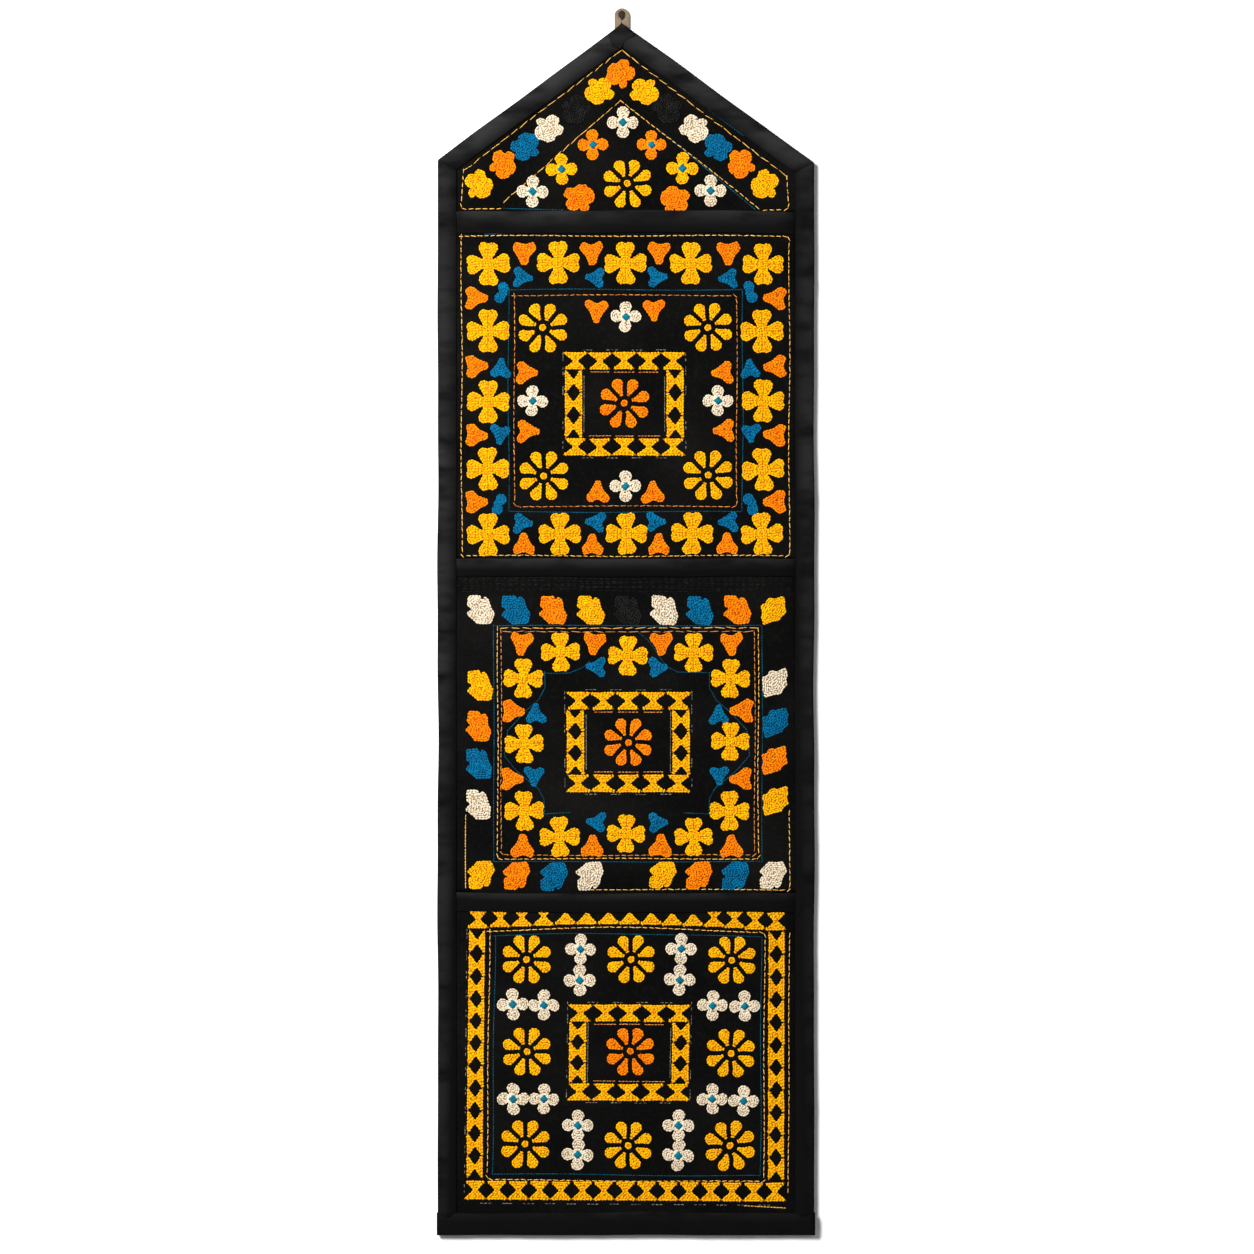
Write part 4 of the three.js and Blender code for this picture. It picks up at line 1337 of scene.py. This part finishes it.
# Geometry Nodes that lay one stitch after another along rows, over the pads.
def stitchTree():
    tree = bpy.data.node_groups.new("Stitches along rows", "GeometryNodeTree")
    graph = Graph(tree)
    face = tree.interface
    for name, kind in [("Geometry", "Geometry"), ("Stitch", "Object"), ("Pads", "Object"),
                       ("Spacing", "Float"), ("Size", "Vector"), ("Seed", "Int"), ("Thread", "Material")]:
        face.new_socket(name, in_out="INPUT", socket_type="NodeSocket" + kind)
    face.new_socket("Geometry", in_out="OUTPUT", socket_type="NodeSocketGeometry")
    source = tree.nodes.new("NodeGroupInput")
    given = {socket.name: Wire(graph, socket) for socket in source.outputs if socket.name}

    def between(low, high):
        return graph.add("FunctionNodeRandomValue", {"data_type": "FLOAT_VECTOR"},
                         {"Min": low, "Max": high, "Seed": given["Seed"]})

    curve = graph.add("GeometryNodeMeshToCurve", None, {"Mesh": given["Geometry"]})
    even = graph.add("GeometryNodeResampleCurve", {"mode": "LENGTH"},
                     {"Curve": curve, "Length": given["Spacing"]})
    facing = graph.add("GeometryNodeInputNamedAttribute", {"data_type": "FLOAT_VECTOR"}, {"Name": "facing"},
                       "Attribute")
    upright = graph.add("FunctionNodeAlignRotationToVector", {"axis": "Z"}, {"Vector": facing})
    aligned = graph.add("FunctionNodeAlignRotationToVector", {"axis": "X", "pivot_axis": "Z"},
                        {"Rotation": upright, "Vector": graph.add("GeometryNodeInputTangent")})
    spread, yaw = stitching["unevenness"], stitching["yaw"]
    scale = graph.times(between((1 - spread,) * 3, (1 + spread,) * 3), given["Size"])
    nudge = graph.add("FunctionNodeEulerToRotation", None, {0: between((0, 0, -yaw), (0, 0, yaw))})
    nudged = graph.add("FunctionNodeRotateRotation", {"rotation_space": "LOCAL"},
                       {"Rotation": aligned, "Rotate By": nudge})
    stitch = graph.add("GeometryNodeObjectInfo", None, {"Object": given["Stitch"]}, "Geometry")
    laid = graph.add("GeometryNodeInstanceOnPoints", None,
                     {"Points": even, "Instance": stitch, "Rotation": nudged, "Scale": scale})
    real = graph.add("GeometryNodeRealizeInstances", None, {0: laid})
    joined = graph.add("GeometryNodeJoinGeometry", None, {0: real})
    pads = graph.add("GeometryNodeObjectInfo", None, {"Object": given["Pads"]}, "Geometry")
    tree.links.new(pads.socket, joined.socket.node.inputs[0])
    threaded = graph.add("GeometryNodeSetMaterial", None, {"Geometry": joined, "Material": given["Thread"]})
    graph.add("NodeGroupOutput", None, {0: threaded})
    return tree, {item.name: item.identifier for item in face.items_tree if item.in_out == "INPUT"}


stitchNodes, stitchInputs = stitchTree()
threadSlots = {"navy": "teal", "ash": "cream", "copper": "gold"}


# The embroidery of one thread on one cloth, as a plain mesh.
def makeStitches(part, thread, kind, rows, seed):
    name = "Stitches_" + part + "_" + thread + "_" + kind.lower()
    mesh = bpy.data.meshes.new(name)
    mesh.from_pydata((np.vstack(rows.points) * mm).tolist(), np.vstack(rows.edges).tolist(), [])
    facing = mesh.attributes.new("facing", "FLOAT_VECTOR", "POINT")
    facing.data.foreach_set("vector", np.vstack(rows.facing).ravel())
    guide = addObject(name + "_rows", mesh)
    padMesh = meshFrom(name + "_pads", np.vstack(rows.padPoints), rows.padFaces)
    setValues(padMesh, "tone", rows.padTones)
    pads = addObject(name + "_pads", padMesh)
    link = links[kind]
    modifier = guide.modifiers.new("Stitches", "NODES")
    modifier.node_group = stitchNodes
    values = {
        "Stitch": chainLink if kind == "Chain" else runningStitch,
        "Pads": pads,
        "Spacing": link["spacing"] * mm,
        "Size": [link[key] * mm for key in ("length", "width", "height")],
        "Seed": seed,
        "Thread": threadMaterials[thread],
    }
    for key, value in values.items():
        modifier[stitchInputs[key]] = value
    evaluated = guide.evaluated_get(bpy.context.evaluated_depsgraph_get())
    made = bpy.data.meshes.new_from_object(evaluated)
    for helper in (guide, pads):
        bpy.data.objects.remove(helper)
    made.name = name
    piece = addObject(name, made, threadMaterials[thread])
    if "facing" in made.attributes:
        made.attributes.remove(made.attributes["facing"])
    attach(piece, "root")
    threadSlots.get(thread, thread) + "_thread"
    return piece


embroidery = {part: [] for part in layout}
for seed, ((part, thread, kind), rows) in enumerate(rowsOf.items()):
    embroidery[part].append(makeStitches(part, thread, kind, rows, seed))
for helper in (chainLink, runningStitch):
    bpy.data.objects.remove(helper)
total = sum(len(piece.data.polygons) for pieces in embroidery.values() for piece in pieces)
print("stitches laid:", total, "faces")

clothOf = {"Peak_panel": "peak", **{"Pocket_" + part + "_front": part for part in pockets}}
for piece, flat, area, restsOn in sheets:
    extras = embroidery.get(clothOf.get(piece.name), [])
    list(restsOn)
    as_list(extras)


# A large plain sheet for the stage.
def makeBackdrop(name, corners, material):
    backdrop = addObject(name, meshFrom(name, corners, [(0, 1, 2, 3)]), material)
    backdrop.visible_diffuse = False
    return backdrop


# A pale wall and floor. The wall can't be seen from behind, and sends no light back to the hanging.
def makeStage():
    wallMaterial, graph, place, _, _ = newMaterial("Pale wall")
    tone = graph.mix(graph.noise(place, 3.0), colour(0.97, 0.97, 0.97), colour(1.0, 1.0, 1.0))
    paint = graph.add("ShaderNodeBsdfDiffuse", None, {"Color": tone})
    clear = graph.add("ShaderNodeBsdfTransparent")
    behind = graph.add("ShaderNodeNewGeometry", out="Backfacing")
    mixed = graph.add("ShaderNodeMixShader", None, {0: behind, 1: paint, 2: clear})
    graph.add("ShaderNodeOutputMaterial", None, {"Surface": mixed})
    half, front, low = 1500, 2500, 900
    y = depth["wall"]
    corners = [(-half, y, -low), (half, y, -low), (half, y, low), (-half, y, low)]
    wall = makeBackdrop("Wall", corners, wallMaterial)
    wall.visible_glossy = False
    wall.visible_shadow = False
    floorMaterial, graph, place, _, _ = newMaterial("Pale floor")
    tone = graph.mix(graph.noise(place, 3.0), colour(0.82, 0.82, 0.81), colour(0.86, 0.86, 0.85))
    graph.finish(tone, 0.9, 0.5)
    corners = [(-half, -front, -low), (half, -front, -low), (half, half, -low), (-half, half, -low)]
    floor = makeBackdrop("Floor", corners, floorMaterial)


# The dark peg in the wall that the loop hangs from. Its head is drawn down to a point that fills the lower
# eye of the loop as painted shadow.
def makePeg():
    pegMaterial, graph, place, _, _ = newMaterial("Dark peg")
    tone = graph.mix(graph.noise(place, 900.0), colour(0.010, 0.006, 0.004), colour(0.04, 0.02, 0.012))
    graph.finish(tone, 0.7, 0.1)
    sides, radius = 24, 2.15
    outline = []
    for a in ringTurns(sides):
        point = 1.9 * max(-math.sin(a), 0) ** 3
        outline.append((radius * math.cos(a), loopShape["eyeCentre"] + radius * math.sin(a) - point))
    rings = [(1.0, 1.15), (1.0, -0.7), (0.7, -1.0)]
    points = [(share * x, y, share * z) for share, y in rings for x, z in outline]
    addObject("Peg", meshFrom("Peg", points, ringFaces(sides, len(rings))), pegMaterial)


# Lamps: place, size and power. All look at the middle of the hanging.
lamps = {
    "Key": ((-1.1, -2.0, 0.5), 1.0, 116.0),
    "Fill": ((1.4, -2.2, -0.2), 1.4, 6.0),
    "Back": ((0.6, 2.2, 0.6), 1.6, 70.0),
}
lampTarget = (0, 0, -0.42)
skyStrength = 0.16


def makeLight(name, place, size, power):
    data = bpy.data.lights.new(name, "AREA")
    data.shape = "DISK"
    data.size = size
    data.energy = power
    lamp = bpy.data.objects.new(name, data)
    lamp.location = place
    aim = np.array(lampTarget) - np.array(place)
    yaw = math.atan2(aim[1], aim[0]) - math.pi / 2
    pitch = math.atan2(aim[2], math.hypot(aim[0], aim[1])) + math.pi / 2
    lamp.rotation_euler = (pitch, 0, yaw)
    bpy.context.scene.collection.objects.link(lamp)


def makeLights():
    for name, lamp in lamps.items():
        makeLight(name, *lamp)
    world = bpy.data.worlds.new("Pale studio")
    world.use_nodes = True
    graph = Graph(world.node_tree)
    sky = graph.add("ShaderNodeBackground", None, {"Color": colour(1, 1, 1), "Strength": skyStrength})
    graph.add("ShaderNodeOutputWorld", None, {"Surface": sky})
    bpy.context.scene.world = world


# Straight on, from a good way off, as the photograph was taken.
camera = {"x": 3.3, "z": -406.6, "distance": 3474, "lens": 150}


def makeCamera():
    data = bpy.data.cameras.new("Camera")
    data.lens = camera["lens"]
    data.sensor_width = 36
    data.clip_start = 0.05
    data.clip_end = 50
    eye = bpy.data.objects.new("Camera", data)
    eye.location = (camera["x"] * mm, -camera["distance"] * mm, camera["z"] * mm)
    eye.rotation_euler = (math.pi / 2, 0, 0)
    bpy.context.scene.collection.objects.link(eye)
    bpy.context.scene.camera = eye


makeStage()
makePeg()
makeLights()
makeCamera()
bpy.context.scene.view_settings.view_transform = "Standard"
print("stage set")
